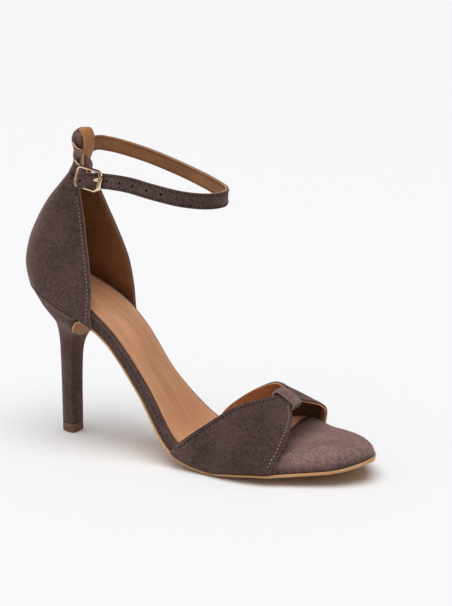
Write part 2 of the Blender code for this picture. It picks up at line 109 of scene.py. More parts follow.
# %% [markdown]
# ## The last
# One table gives the footbed: the height of its edge, its thickness, how wide it is on both sides and how
# far its top is crowned. Everything under the foot is read from it, so insole, sock and outsole fit. A
# second table banks the inner side up under the bow, where the toes are held together.

# %% The last
LAST = Table("x top thick outer inner crown", [
    (0, 100.2, 8.2, 15.6, 15.6, -1.5),
    (12, 96.8, 8.1, 20.0, 20.0, -2.0),
    (27, 91.8, 8.2, 22.5, 22.6, -1.8),
    (38, 87.3, 8.3, 23.0, 22.8, -1.5),
    (50, 81.2, 6.8, 23.4, 22.2, -0.8),
    (69, 67.3, 4.3, 24.9, 18.4, 0.0),
    (91, 40.0, 4.2, 25.2, 16.4, 0.0),
    (113, 13.2, 4.2, 31.2, 27.0, 0.0),
    (133, 6.4, 4.0, 32.8, 30.0, 0.0),
    (152, 8.6, 4.2, 35.2, 34.2, 0.5),
    (168, 14.0, 8.0, 33.8, 35.6, 1.8),
    (187, 15.8, 7.8, 26.6, 33.4, 2.8),
    (204, 17.9, 7.9, 18.2, 25.2, 3.0),
    (218, 21.4, 7.0, 13.0, 17.0, 2.6),
])
BANK = Table("x rise", [
    (0, 0), (118, 0), (134, 1.5), (148, 8.0), (160, 8.3),
    (168, 6.0), (178, 2.8), (188, 1.3), (198, 0.4), (218, 0),
])
BANK_POWER = 1.3
FOOTBED_BACK, FOOTBED_FRONT = 3.8, 215.4
HEEL_END_RADIUS, TOE_END_RADIUS = 17.3, 17.5
TOE_ROLL, TOE_ROLL_LENGTH = 3.4, 24.0
SEAT_TUCK, SEAT_TUCK_END, SEAT_GAP = 2.5, 42.0, 0.5
END_STEP, NARROWEST = 0.1, 1.0


def end_round(distance, radius):
    return sqrt(1 - (1 - ramp(distance, 0, radius)) ** 2)


def half_width(x, side, grow=0.0):
    width = LAST.at("outer" if side == OUTER else "inner", x) + grow
    heel_end = end_round(x - FOOTBED_BACK + grow, HEEL_END_RADIUS + grow)
    return width * heel_end * end_round(FOOTBED_FRONT + grow - x, TOE_END_RADIUS + grow)


def bed_normal(x, step=0.5):
    slope = (LAST.at("top", x + step) - LAST.at("top", x - step)) / (2 * step)
    length = hypot(slope, 1)
    return -slope / length, 1 / length


def bed_point(x, y, lift):
    """A point above the footbed's crowned top, along its normal."""
    share = min(abs(y) / max(half_width(x, side_of(y)), NARROWEST), 1.0)
    crown = LAST.at("crown", x) * end_round(FOOTBED_FRONT - x, 2 * TOE_END_RADIUS)
    lift += crown * (1 - share**2) - TOE_ROLL * (1 - end_round(FOOTBED_FRONT - x, TOE_ROLL_LENGTH))
    if y > 0:
        lift += BANK.at("rise", x) * share**BANK_POWER
    normal_x, normal_z = bed_normal(x)
    return x + normal_x * lift, y, LAST.at("top", x) + normal_z * lift


def seat_share(x):
    return ramp(x, SEAT_TUCK_END, FOOTBED_BACK)


def under_point(x, y, drop):
    """A point below the footbed's underside, drawn in round the heel seat and never under the floor."""
    drop += LAST.at("thick", x)
    normal_x, normal_z = bed_normal(x)
    tuck = SEAT_TUCK * seat_share(x)
    drawn = 1 - tuck / HEEL_END_RADIUS
    return x - normal_x * drop + tuck, y * drawn, max(LAST.at("top", x) - normal_z * drop, 0.0)


def under_height(x, rounds=4):
    found = x
    for _ in range(rounds):
        found += x - under_point(found, 0, 0)[0]
    return under_point(found, 0, 0)[2]


print(f"heel {LAST.at('top', HEEL_TIP_X):.0f} mm high, footbed {FOOTBED_FRONT - FOOTBED_BACK:.0f} mm long")

# %% [markdown]
# ## Tools for the pieces
# Leather pieces are sheets, so most of them start as one flat grid that is moved onto a curved shape.
# A block, such as the heel, is the same grid rolled into a tube through rings of points: its seam is
# merged and its ends are filled. Each corner keeps its place on the flat grid as its UV, and a value
# that scales the finishes' tone: painted light and shade on some pieces, plain tone on others.

# %% Grid and loft
MERGE = 1e-7


def mapped_grid(shape, columns, rows, tone_and_painted_light=None):
    bm = bmesh.new()
    bmesh.ops.create_grid(bm, x_segments=columns, y_segments=rows, size=0.5)
    uv = bm.loops.layers.uv.new("UVMap")
    for face in bm.faces:
        for loop in face.loops:
            loop[uv].uv = (loop.vert.co.x + 0.5, loop.vert.co.y + 0.5)
    # A value per corner that scales the finish's tone: painted light and shade on some pieces, plain tone on
    # others.
    shading_and_tone = bm.verts.layers.float.new("tone_and_painted_light")
    for vert in bm.verts:
        u, v = vert.co.x + 0.5, vert.co.y + 0.5
        vert.co = to_scene(shape(u, v))
        vert[shading_and_tone] = tone_and_painted_light(u, v) if tone_and_painted_light else 0.0
    return bm


def lofted(rings, tone_and_painted_light=None):
    columns, rows = len(rings) - 1, len(rings[0])
    bm = mapped_grid(lambda u, v: rings[round(u * columns)][round(v * rows) % rows], columns, rows, tone_and_painted_light)
    bmesh.ops.remove_doubles(bm, verts=bm.verts, dist=MERGE)
    bmesh.ops.holes_fill(bm, edges=[edge for edge in bm.edges if edge.is_boundary], sides=0)
    bmesh.ops.recalc_face_normals(bm, faces=bm.faces)
    return bm


def turns(points):
    """The angles of points spaced evenly round a circle."""
    return [2 * pi * j / points for j in range(points)]


def paint(bm, index, chosen):
    """The faces whose middle (u, v) is chosen get another finish of the piece."""
    uv = bm.loops.layers.uv.active
    for face in bm.faces:
        middle = sum((loop[uv].uv for loop in face.loops), Vector((0, 0))) / len(face.loops)
        if len(face.verts) == 4 and chosen(middle.x, middle.y):
            face.material_index = index
    return bm


print("tools: mapped_grid, lofted, paint")

# %% [markdown]
# A mesh becomes a piece of the shoe when it rides on the frame's one body.
# Solidify then gives a sheet its wall, and Bevel rounds the cut edges.

# %% Piece and wall
EDGE_SEGMENTS, EDGE_ANGLE = 2, radians(50)


def new_mesh(name, bm, finishes):
    mesh = bpy.data.meshes.new(name)
    bm.to_mesh(mesh)
    bm.free()
    for finish in finishes:
        mesh.materials.append(finish)
    return mesh


def new_object(name, data):
    obj = bpy.data.objects.new(name, data)
    bpy.context.scene.collection.objects.link(obj)
    return obj


def piece(name, bm, finishes, slot, replaces=None, sharp_degrees=45):
    mesh = new_mesh(name, bm, finishes)
    mesh.shade_smooth()
    mesh.set_sharp_from_angle(angle=radians(sharp_degrees))
    obj = new_object(name, mesh)
    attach(obj, "root")
    if replaces:
        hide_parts(replaces)
    print(f"{name}: {len(mesh.polygons)} faces")
    return obj


def add_wall(obj, thickness, low, edge_finish=0):
    """A wall from low to low + thickness above the sheet, along its normals."""
    wall = obj.modifiers.new("Wall", "SOLIDIFY")
    wall.thickness = thickness * MM
    wall.offset = 1 + 2 * low / thickness
    wall.use_even_offset = True
    wall.material_offset_rim = edge_finish


def round_edges(obj, width):
    edges = obj.modifiers.new("Rounded edges", "BEVEL")
    edges.width = width * MM
    edges.segments = EDGE_SEGMENTS
    edges.limit_method = "ANGLE"
    edges.angle_limit = EDGE_ANGLE


print(f"edges steeper than {degrees(EDGE_ANGLE):.0f} degrees are rounded")

# %% [markdown]
# ## Grain and nap
# Suede has three things that a flat colour lacks: clouds where the nap was brushed one way or another,
# mottles of a few millimetres, and short fibres. Smooth leather has the same three at other sizes. One
# node group gives them all, and each finish places it with its own sizes.

# %% Grain group
GRAIN_PARTS = ("Cloud", "Mottle", "Fibre")
NOISE = {"Detail": 3.0, "Roughness": 0.6}
NOISE_SPREAD = {"From Min": 0.38, "From Max": 0.62}


def feed(tree, node, inputs):
    """Gives a node's inputs their values, and links those that another node's output feeds."""
    for name, given in inputs.items():
        if isinstance(given, bpy.types.NodeSocket):
            tree.links.new(given, node.inputs[name])
        else:
            node.inputs[name].default_value = given


def add_node(tree, kind, inputs, **settings):
    node = tree.nodes.new(f"ShaderNode{kind}")
    for name, value in settings.items():
        setattr(node, name, value)
    feed(tree, node, inputs)
    return node


def grain_group():
    group = bpy.data.node_groups.new("grain", "ShaderNodeTree")
    group.interface.new_socket("Place", in_out="INPUT", socket_type="NodeSocketVector")
    for part in GRAIN_PARTS:
        group.interface.new_socket(f"{part} Size", in_out="INPUT", socket_type="NodeSocketFloat")
        group.interface.new_socket(part, in_out="OUTPUT", socket_type="NodeSocketFloat")
    given, made = group.nodes.new("NodeGroupInput"), group.nodes.new("NodeGroupOutput")
    for part in GRAIN_PARTS:
        place = {"Vector": given.outputs["Place"], "Scale": given.outputs[f"{part} Size"]}
        noise = add_node(group, "TexNoise", {**place, **NOISE})
        spread = add_node(group, "MapRange", {"Value": noise.outputs["Fac"], **NOISE_SPREAD})
        feed(group, made, {part: spread.outputs["Result"]})
    return group


GRAIN = grain_group()
print("group", GRAIN.name, "with", len(GRAIN.nodes), "nodes")

# %% [markdown]
# ## Finishes
# Every leather on the shoe is then a few numbers: a dark and a light tone, how much clouds, mottles and
# fibres move it from one to the other, how rough it is and how deep its grain. A value on the mesh scales
# the tone: painted light and shade on some pieces, a plain change of tone on others. Numbers that are
# the same all over go on the shader's own sockets. A sheet can take its grain from its UV map instead of
# the space round it: then the grain can be drawn out along the sheet.

# %% Leather maker
GLOSS_VARIES, BUMP_STRENGTH = 0.06, 0.6
SHEEN = {"Sheen Roughness": 0.4, "Sheen Tint": (1.0, 0.7, 0.64, 1)}
POLISHED_BELOW, POLISHED_SPECULAR, MATT_SPECULAR = 0.7, 0.5, 0.1


def new_finish(name):
    finish = bpy.data.materials.new(name)
    finish.use_nodes = True
    return finish, finish.node_tree, finish.node_tree.nodes["Principled BSDF"]


def grain_node(tree, sizes, uv_size=None):
    """The grain group, placed in object space or on a UV map of a given size in metres."""
    spots = add_node(tree, "TexCoord", {})
    place = spots.outputs["Object"]
    if uv_size:
        stretch = {0: spots.outputs["UV"], 1: (*uv_size, 1)}
        place = add_node(tree, "VectorMath", stretch, operation="MULTIPLY").outputs[0]
    scales = {f"{part} Size": size for part, size in zip(GRAIN_PARTS, sizes)}
    return add_node(tree, "Group", {"Place": place, **scales}, node_tree=GRAIN)


def leather(name, dark, light, grains, roughness, depth, sheen=0.0, uv_size=None):
    finish, tree, shader = new_finish(name)
    sizes, weights = grains
    grain = grain_node(tree, sizes, uv_size).outputs
    tone = 0.0
    for part, weight in zip(GRAIN_PARTS, weights):
        share = {0: grain[part], 1: weight, 2: tone}
        tone = add_node(tree, "Math", share, operation="MULTIPLY_ADD").outputs[0]
    tones = add_node(tree, "Mix", {"Factor": tone, "A": (*dark, 1), "B": (*light, 1)}, data_type="RGBA")
    # The mesh's tone value scales the colour: painted light and shade on some pieces, plain tone on others.
    shading_and_tone = add_node(tree, "Attribute", {}, attribute_name="tone_and_painted_light")
    paler = add_node(tree, "Math", {0: shading_and_tone.outputs["Fac"], 1: 1.0}, operation="ADD")
    scaled = {0: tones.outputs["Result"], "Scale": paler.outputs[0]}
    toned = add_node(tree, "VectorMath", scaled, operation="SCALE")
    low, high = roughness - GLOSS_VARIES, min(roughness + GLOSS_VARIES, 1.0)
    gloss = add_node(tree, "MapRange", {"Value": grain["Mottle"], "To Min": low, "To Max": high})
    relief = {"Height": grain["Fibre"], "Strength": BUMP_STRENGTH, "Distance": depth * MM}
    bump = add_node(tree, "Bump", relief)
    feed(tree, shader, {
        "Base Color": toned.outputs["Vector"],
        "Roughness": gloss.outputs["Result"],
        "Normal": bump.outputs["Normal"],
        "Sheen Weight": sheen,
        "Specular IOR Level": POLISHED_SPECULAR if roughness < POLISHED_BELOW else MATT_SPECULAR,
        **SHEEN,
    })
    return finish


print("a leather has", len(GRAIN_PARTS), "kinds of grain")

# %% [markdown]
# The upper is taupe suede, a little paler on its cut edges. Lining, sock and sole are tan leathers, from
# brown to pale, and the tip is a brown rubber. The seams are sewn in three threads.

# %% Leather finishes
NAP = (55, 480, 1200), (0.25, 0.24, 0.51)
SMOOTH = (45, 300, 1500), (0.6, 0.25, 0.15)
DRAWN_OUT = (50, 200, 1800), (0.4, 0.35, 0.25)
CUT = (200, 600, 2600), (0.4, 0.3, 0.3)
RUBBER = (300, 900, 2500), (0.4, 0.3, 0.3)
SPUN = (300, 900, 4000), (0.4, 0.3, 0.3)
SOCK_UV_SIZE = (0.04, 0.05)
SUEDE = leather("taupe_suede", (0.031, 0.018, 0.016), (0.135, 0.083, 0.076), NAP, 0.92, 0.3, 0.4)
SUEDE_CUT = leather("suede_edge", (0.12, 0.075, 0.062), (0.20, 0.13, 0.105), NAP, 0.92, 0.2, 0.4)
LINING = leather("lining_leather", (0.20, 0.078, 0.026), (0.31, 0.13, 0.048), SMOOTH, 0.6, 0.06)
SOCK = leather(
    "sock_leather", (0.53, 0.25, 0.125), (0.76, 0.385, 0.21), DRAWN_OUT, 0.42, 0.03, uv_size=SOCK_UV_SIZE
)
EDGE = leather("cut_edge", (0.38, 0.18, 0.075), (0.56, 0.30, 0.14), CUT, 0.6, 0.06)
SOLE = leather("sole_leather", (0.52, 0.28, 0.12), (0.66, 0.38, 0.175), SMOOTH, 0.5, 0.04)
TIP = leather("tip_rubber", (0.12, 0.053, 0.027), (0.17, 0.078, 0.04), RUBBER, 0.6, 0.04)
PALE_THREAD, TAN_THREAD, DARK_THREAD_AND_HOLE_SHADE = (
    leather(f"{name}_thread", dark, light, SPUN, 0.7, 0.05)
    for name, dark, light in (
        ("pale", (0.30, 0.22, 0.175), (0.44, 0.34, 0.28)),
        ("tan", (0.36, 0.18, 0.085), (0.52, 0.28, 0.14)),
        ("dark", (0.008, 0.005, 0.005), (0.018, 0.012, 0.011)),
    )
)
print("leathers:", ", ".join(m.name for m in (SUEDE, SUEDE_CUT, LINING, SOCK, EDGE, SOLE, TIP)))

# %% [markdown]
# The buckle is plated in pale gold. Plating is never quite even, so a faint noise varies its roughness. A
# polished wire mirrors the dark parts of a studio, so a painted reflection darkens the faces that would
# show them.

# %% Gold
GOLD_TONE, GOLD_MIRRORED_DARK = (1.0, 0.75, 0.48, 1), (0.06, 0.03, 0.012, 1)
GOLD_CLOUDS = (400, 400, 400)
GOLD_GLOSS = {"To Min": 0.14, "To Max": 0.26}


def plated_gold():
    finish, tree, shader = new_finish("pale_gold")
    mirrored = add_node(tree, "Attribute", {}, attribute_name="tone_and_painted_light")
    mix = {"Factor": mirrored.outputs["Fac"], "A": GOLD_TONE, "B": GOLD_MIRRORED_DARK}
    tones = add_node(tree, "Mix", mix, data_type="RGBA")
    clouds = grain_node(tree, GOLD_CLOUDS).outputs["Cloud"]
    gloss = add_node(tree, "MapRange", {"Value": clouds, **GOLD_GLOSS})
    looks = {"Metallic": 1.0, "Base Color": tones.outputs["Result"], "Roughness": gloss.outputs["Result"]}
    feed(tree, shader, looks)
    return finish


GOLD = plated_gold()
print("metal:", GOLD.name)

# %% [markdown]
# ## Outsole
# The outsole is a thin leather sheet under the whole foot. Its edge is upright and shows as a tan line,
# its lower rim is bevelled, and at the arch it bends down over the heel's front as a tongue. One section,
# read at many places along the foot, makes all of it.

# %% Section of the outsole
OUTSOLE_THICKNESS, OUTSOLE_EDGE_HEIGHT, OUTSOLE_RIM, OUTSOLE_BEVEL = 2.1, 1.15, 1.1, 2.4
EDGE_LEAST, EDGE_ROUNDING, BEVEL_SWELL = 0.4, 0.25, 0.1
WAIST_START, WAIST_END, WAIST_SHARE = 80.0, 122.0, 0.35
TIP_START, TIP_END, TIP_LESS = 192.0, 212.0, 0.65
BOTTOM_COLUMNS = (0.3, 0.6)


def waist(x):
    """How far the edge stands out: all of it at the ball, little of it at the waist."""
    share = ramp(x, WAIST_START, WAIST_END)
    return WAIST_SHARE + (1 - WAIST_SHARE) * share * share * (3 - 2 * share)


def rim(x):
    """How far the sole stands out beyond the insole: less at the waist and at the tip of the toe."""
    return OUTSOLE_RIM * waist(x) * (1 - TIP_LESS * ramp(x, TIP_START, TIP_END))


def sole_section(width_outer, width_inner, place, stands_out=WAIST_SHARE):
    edge, bottom = OUTSOLE_EDGE_HEIGHT * (EDGE_LEAST + (1 - EDGE_LEAST) * stands_out), OUTSOLE_THICKNESS
    bevel = min(OUTSOLE_BEVEL, 0.5 * min(width_outer, width_inner))
    lip = [(EDGE_ROUNDING, 0), (0, EDGE_ROUNDING), (0, edge - EDGE_ROUNDING), (EDGE_ROUNDING, edge)]
    lip += [(0.5 * bevel, 0.5 * (edge + bottom) + BEVEL_SWELL), (bevel, bottom)]
    ring = [place(-width_outer + draw, drop) for draw, drop in lip]
    ring += [place(-share * width_outer, bottom) for share in reversed(BOTTOM_COLUMNS)]
    ring += [place(share * width_inner, bottom) for share in BOTTOM_COLUMNS]
    return ring + [place(width_inner - draw, drop) for draw, drop in reversed(lip)]


print(f"rim {rim(WAIST_START):.2f} mm at the waist, {rim(WAIST_END):.2f} mm at the ball")

# %% [markdown]
# The rings of this section start at the toe, where they are closest together, and run back to the heel's
# front. There they turn round a bend and go down the heel, narrower and narrower, to the tongue's end.

# %% Outsole
BREAST_STATION = 54.2
TONGUE_BEND_RADIUS, TONGUE_SLOPE, TONGUE_LENGTH = 3.0, radians(50), 11.5
TONGUE_TAPER, TONGUE_TIP_TAPER = 0.26, 0.26
TONGUE_FROM, TONGUE_RIM = 0.868, 0.2


def in_plane(flat, y):
    return flat.x, y, flat.y


def outsole_rings(count=150, bends=10, tongue=14):
    rings = []
    toe = FOOTBED_FRONT + rim(FOOTBED_FRONT) - END_STEP
    for i in range(count + 1):
        x = toe + (BREAST_STATION - toe) * (1 - cos(pi * i / (2 * count)))
        widths = [half_width(x, side, rim(x)) for side in (OUTER, INNER)]
        rings.append(sole_section(*widths, lambda y, drop: under_point(x, y, SEAT_GAP + drop), waist(x)))
    normal = Vector(bed_normal(BREAST_STATION))
    start_x, _, start_z = under_point(BREAST_STATION, 0, SEAT_GAP)
    radius = TONGUE_BEND_RADIUS + OUTSOLE_THICKNESS
    centre = Vector((start_x, start_z)) - normal * radius
    turn = asin(normal.x) + TONGUE_SLOPE
    for i in range(1, bends + 1):
        facing = Vector(normal)
        facing.rotate(Matrix.Rotation(turn * i / bends, 2))
        rings.append(sole_section(*widths, lambda y, drop: in_plane(centre + facing * (radius - drop), y)))
    down = Vector((-facing.y, facing.x))
    for i in range(1, tongue + 1):
        share = i / tongue
        narrow = [width * (1 - TONGUE_TAPER * share - TONGUE_TIP_TAPER * share**4) for width in widths]
        start = centre + down * TONGUE_LENGTH * share
        rings.append(sole_section(*narrow, lambda y, drop: in_plane(start + facing * (radius - drop), y)))
    return rings


def tongue_face_painted_shade(u, v):
    """The face of the tongue, finished darker than the polished rim: painted shade, as it faces down."""
    return u > TONGUE_FROM and TONGUE_RIM < v < 1 - TONGUE_RIM


# The tongue's face takes the darker lining finish as painted shade.
sole_mesh = paint(lofted(outsole_rings()), 1, tongue_face_painted_shade)
piece("outsole_leather", sole_mesh, [SOLE, LINING], "sole_leather", "outsole")

# %% [markdown]
# ## Insole and sock
# The insole is a board wrapped in suede. Its side shows under the foot, and at the toes its top is padded
# and crowned. A section with a rounded rim, lofted along the foot, goes over into one soft round there.

# %% Insole
INSOLE_EDGE, INSOLE_EDGE_PER_CROWN, INSOLE_EDGE_MOST, INSOLE_SIDE_SHARE = 1.6, 0.9, 0.6, 0.42
RIM_FLATNESS, RIM_ANGLES = 0.6, np.radians((15, 35, 55, 75, 90))
PAD_START, PAD_END, PAD_EDGE, PAD_ANGLES = 168.0, 184.0, 8.0, np.radians((0, 12, 24, 38, 52, 66, 79, 90))
# The toe pad's top is painted paler: a painted highlight where it faces the light from above.
PAD_TOP_HIGHLIGHT, PAD_TOP, PAD_TOP_POWER = 1.7, 0.48, 8
TOP_COLUMNS = (0.12, 0.35, 0.6, 0.85)


def pad_share(x):
    return ramp(x, PAD_START, PAD_END)


def insole_side(x, y, edge):
    """Points up one side: upright with a rounded rim, and at the toe pad one soft round."""
    low, top = under_point(x, y, 0), bed_point(x, y, 0)
    board = [between(low, top, share) for share in (0, 0.5 * INSOLE_SIDE_SHARE, INSOLE_SIDE_SHARE)]
    for angle in RIM_ANGLES:
        fall = RIM_FLATNESS * abs(edge) * (1 - sin(angle))
        board.append(bed_point(x, y + edge * (1 - cos(angle)), -fall))
    pad = []
    for angle in PAD_ANGLES:
        inner = y + edge * (1 - cos(angle))
        pad.append(between(under_point(x, inner, 0), bed_point(x, inner, 0), sin(angle)))
    return [between(a, b, pad_share(x)) for a, b in zip(board, pad)]


def insole_rings(count=170):
    rings = []
    first, last = FOOTBED_BACK + END_STEP, FOOTBED_FRONT - END_STEP
    for i in range(count + 1):
        x = first + (last - first) * (1 - cos(pi * i / count)) / 2
        outer, inner = half_width(x, OUTER), half_width(x, INNER)
        edge = INSOLE_EDGE + INSOLE_EDGE_PER_CROWN * max(LAST.at("crown", x), 0)
        edge += (PAD_EDGE - edge) * pad_share(x)
        edge = min(edge, INSOLE_EDGE_MOST * min(outer, inner))
        ring = insole_side(x, -outer, edge)
        ring += [bed_point(x, -share * (outer - edge), 0) for share in reversed(TOP_COLUMNS)]
        ring += [bed_point(x, share * (inner - edge), 0) for share in TOP_COLUMNS]
        rings.append(ring + insole_side(x, inner, -edge)[::-1])
    return rings


def pad_top_painted_highlight(u, v):
    """Painted highlight: paler on top of the toe pad, which faces the light from above."""
    x = FOOTBED_BACK + (FOOTBED_FRONT - FOOTBED_BACK) * (1 - cos(pi * u)) / 2
    on_top = max(1 - (abs(v - 0.5) / PAD_TOP) ** PAD_TOP_POWER, 0)
    return PAD_TOP_HIGHLIGHT * on_top * pad_share(x)


piece("insole_suede", lofted(insole_rings(), tone_and_painted_light=pad_top_painted_highlight), [SUEDE], "taupe_suede", "insole", sharp_degrees=60)

# %% [markdown]
# A tan leather sock is glued on the board and ends under the bow. It is a thin sheet with an outline a
# little inside the board's, so one grid is laid on the footbed and given a wall.

# %% Sock
SOCK_THICKNESS, SOCK_GAP, SOCK_INSET, SOCK_ROUND = 0.9, 0.45, 4.0, 0.35
SOCK_FRONT, SOCK_SLANT, SOCK_SLANT_POWER = 161.5, -0.14, 8


def sock_shape(u, v):
    start = FOOTBED_BACK + SOCK_INSET + END_STEP
    x = start + (SOCK_FRONT - start) * (1 - cos(pi * u / 2))
    outer, inner = (half_width(x, side, -SOCK_INSET) for side in (OUTER, INNER))
    across = 2 * v - 1
    y = across * (outer if across < 0 else inner)
    return bed_point(x - SOCK_SLANT * y * u**SOCK_SLANT_POWER, y, SOCK_GAP)


sock = piece("sock_sheet", mapped_grid(sock_shape, columns=140, rows=24), [SOCK], "sock_leather", "sock")
add_wall(sock, SOCK_THICKNESS, 0)
round_edges(sock, SOCK_ROUND)

# %% [markdown]
# ## Heel
# The heel is a hard block in a suede skin. Its section is a D: flat at the front, where the sole's tongue
# lies, and round at the back. It is slim from the tip up and flares to the seat in its top third. The
# table follows the front and back edges on the centre line.

# %% Heel
HEEL_LEVELS = Table("level x_back z_back x_front z_front half", [
    (0, 19.3, 5.8, 30.3, 5.8, 5.5),
    (1, 19.1, 30, 30.4, 30, 5.6),
    (2, 18.8, 47, 30.9, 46, 5.9),
    (3, 18.5, 55, 31.8, 53, 6.5),
    (4, 17.8, 61.5, 33.4, 58.5, 8.0),
    (5, 16.6, 68, 35.9, 63, 12.0),
    (6, 13.4, 74.0, 38.6, 66.6, 17.5),
    (7, 9.2, 79.5, 41.4, 70, 21.6),
    (8, 5.2, 84.5, 44.3, 73.4, 23.6),
])
HEEL_SEAT_FRONT, HEEL_SEAT_GROW = 48.6, 2.3
HEEL_CORNER, HEEL_ROUND = 1.6, 0.5
HEEL_POINTS = 72
HALF_TURN = [pi * (i / HEEL_POINTS - 0.5) for i in range(HEEL_POINTS + 1)]


def heel_ring(x_back, z_back, x_front, z_front, half):
    ring = []
    for angle in HALF_TURN:
        back = cos(angle)
        near = max(1 - back * (x_front - x_back) / HEEL_CORNER, 0)
        cut = HEEL_CORNER * (1 - sqrt(1 - near**2))
        y = half * sin(angle) - copysign(cut, angle)
        ring.append((x_front + (x_back - x_front) * back, y, z_front + (z_back - z_front) * back))
    return ring


def seat_ring():
    ring = []
    for angle in HALF_TURN:
        x = HEEL_SEAT_FRONT - (HEEL_SEAT_FRONT - FOOTBED_BACK + HEEL_SEAT_GROW) * cos(angle)
        side = side_of(angle)
        ring.append(under_point(x, side * half_width(x, side, HEEL_SEAT_GROW), SEAT_GAP))
    return ring


def heel_rings(steps=72, seat_steps=5):
    levels = np.linspace(0, HEEL_LEVELS.key[-1], steps + 1).tolist()
    rings = [heel_ring(*HEEL_LEVELS.row(level)) for level in levels]
    top = rings[-1]
    for i in range(1, seat_steps + 1):
        rings.append([between(low, high, i / seat_steps) for low, high in zip(top, seat_ring())])
    return rings


heel = piece("heel_suede", lofted(heel_rings()), [SUEDE], "taupe_suede", "heel")
round_edges(heel, HEEL_ROUND)

# %% [markdown]
# The tip takes the wear. It continues the heel's lowest section to the floor, with a small chamfer.

# %% Heel tip
HEEL_TIP_HEIGHT, HEEL_TIP_CHAMFER, HEEL_TIP_ROUND = 5.5, 0.5, 0.25


def tip_rings():
    x_back, _, x_front, _, half = HEEL_LEVELS.row(0)
    levels = ((0.0, HEEL_TIP_CHAMFER), (HEEL_TIP_CHAMFER, 0.0), (HEEL_TIP_HEIGHT, 0.0))
    return [heel_ring(x_back + draw, z, x_front - draw, z, half - draw) for z, draw in levels]


heel_tip = piece("heel_tip_block", lofted(tip_rings()), [TIP], "tip_rubber", "heel_tip")
round_edges(heel_tip, HEEL_TIP_ROUND)

# %% [markdown]
# ## Counter
# The counter is the closed back of the shoe: one wall that runs round the heel, from the outer front edge
# behind the foot to the inner one, and leans forward to a narrow top. Each column up the wall is a smooth
# curve through the seat, the footbed's rim and six levels.

# %% Shape of the counter
COUNTER_LEVELS = Table("level z_back z_front x_back x_outer x_inner half front_half", [
    (0, 107, 90, 2.9, 53.4, 56.0, 21.4, 19.4),
    (1, 117, 104, 4.8, 50.8, 54.6, 19.0, 16.8),
    (2, 128, 119, 9.8, 46.6, 50.6, 15.8, 13.2),
    (3, 139, 134, 16.8, 43.2, 44.8, 12.6, 10.6),
    (4, 147, 145, 24.2, 40.4, 40.2, 10.2, 9.2),
    (5, 154.5, 152.5, 31.2, 37.6, 36.8, 8.0, 7.6),
])
COUNTER_FRONT = {OUTER: 55.0, INNER: 55.8}
COUNTER_LOW_FRONT, COUNTER_BEND = 5.0, 0.6
COUNTER_RIM_BACK, COUNTER_RIM_LIFT, COUNTER_SEAT_RISE = 1.5, 1.0, 0.13
GAP = 0.3


def counter_level(level, across, turn, side):
    z_back, z_front, x_back, x_outer, x_inner, half, front_half = COUNTER_LEVELS.row(level)
    x_front = x_outer if side == OUTER else x_inner
    if abs(across) < COUNTER_BEND:
        y = half * sin(pi / 2 * abs(across) / COUNTER_BEND)
    else:
        y = half - (half - front_half) * ramp(abs(across), COUNTER_BEND, 1) ** 2
    return x_back + (x_front - x_back) * turn, side * y, z_back + (z_front - z_back) * turn


@functools.lru_cache(None)
def counter_column(u):
    across = 2 * u - 1
    side = side_of(across)
    turn = 1 - cos(abs(across) * pi / 2)
    back = FOOTBED_BACK - GAP
    station = back + (COUNTER_FRONT[side] - back) * turn
    x, y, z = bed_point(station, side * half_width(station, side, SEAT_GAP), COUNTER_RIM_LIFT)
    bed_rim = (x - COUNTER_RIM_BACK * (1 - turn), y, z)
    low_station = station + COUNTER_LOW_FRONT * turn
    low = under_point(low_station, side * half_width(low_station, side, SEAT_GAP), 0)
    low = between(low, bed_rim, COUNTER_SEAT_RISE * seat_share(station))
    points = [low, bed_rim] + [counter_level(level, across, turn, side) for level in COUNTER_LEVELS.key]
    return Table("row x y z", [(row, *point) for row, point in enumerate(points)])


def counter_shape(u, v):
    column = counter_column(u)
    return column.row(v * column.key[-1])


print(f"counter from {counter_shape(0.5, 0)[2]:.0f} to {counter_shape(0.5, 1)[2]:.0f} mm high at the back")

# %% [markdown]
# An upper is cut from suede and lined with tan leather, so two sheets of one shape are made, one on the
# other: at the edges both cuts show. The counter, the bow and the strap are all made in this way.

# %% Counter
COUNTER_WALL, COUNTER_LINING = 2.0, 0.75
LAYER_GAP, LAYER_ROUND = 0.05, 0.25


def layered(name, node, shape, columns, rows, wall, lining, layer_tones_and_light=(None, None), base=0.0, edge=EDGE):
    """Two sheets, one on the other: the suede, which stands for the node, and its lining inside."""
    over = lining + LAYER_GAP
    made = []
    for layer, finishes, slot, low, thickness, tone_and_painted_light in (
        ("suede", [SUEDE, SUEDE_CUT], "taupe_suede", base + over, wall - over, layer_tones_and_light[0]),
        ("lining", [LINING, edge], "sock_leather", base, lining, layer_tones_and_light[1]),
    ):
        bm = mapped_grid(shape, columns, rows, tone_and_painted_light)
        bmesh.ops.reverse_faces(bm, faces=bm.faces)
        obj = piece(f"{name}_{layer}", bm, finishes, slot, node if layer == "suede" else None)
        add_wall(obj, thickness, low, 1)
        round_edges(obj, LAYER_ROUND)
        made.append(obj)
    return made


layered("counter", "counter", counter_shape, 110, 80, COUNTER_WALL, COUNTER_LINING, edge=LINING)

# %% [markdown]
# ## Bow across the toes
# The front of the upper is a band that is wide at both sole edges and pinched in the middle, like a bow.
# Its rear and front edges are a table, and its height over the foot is a rounded arch. The pinch gathers
# the suede, so a few soft pleats fan out from the middle and die away down the sides.

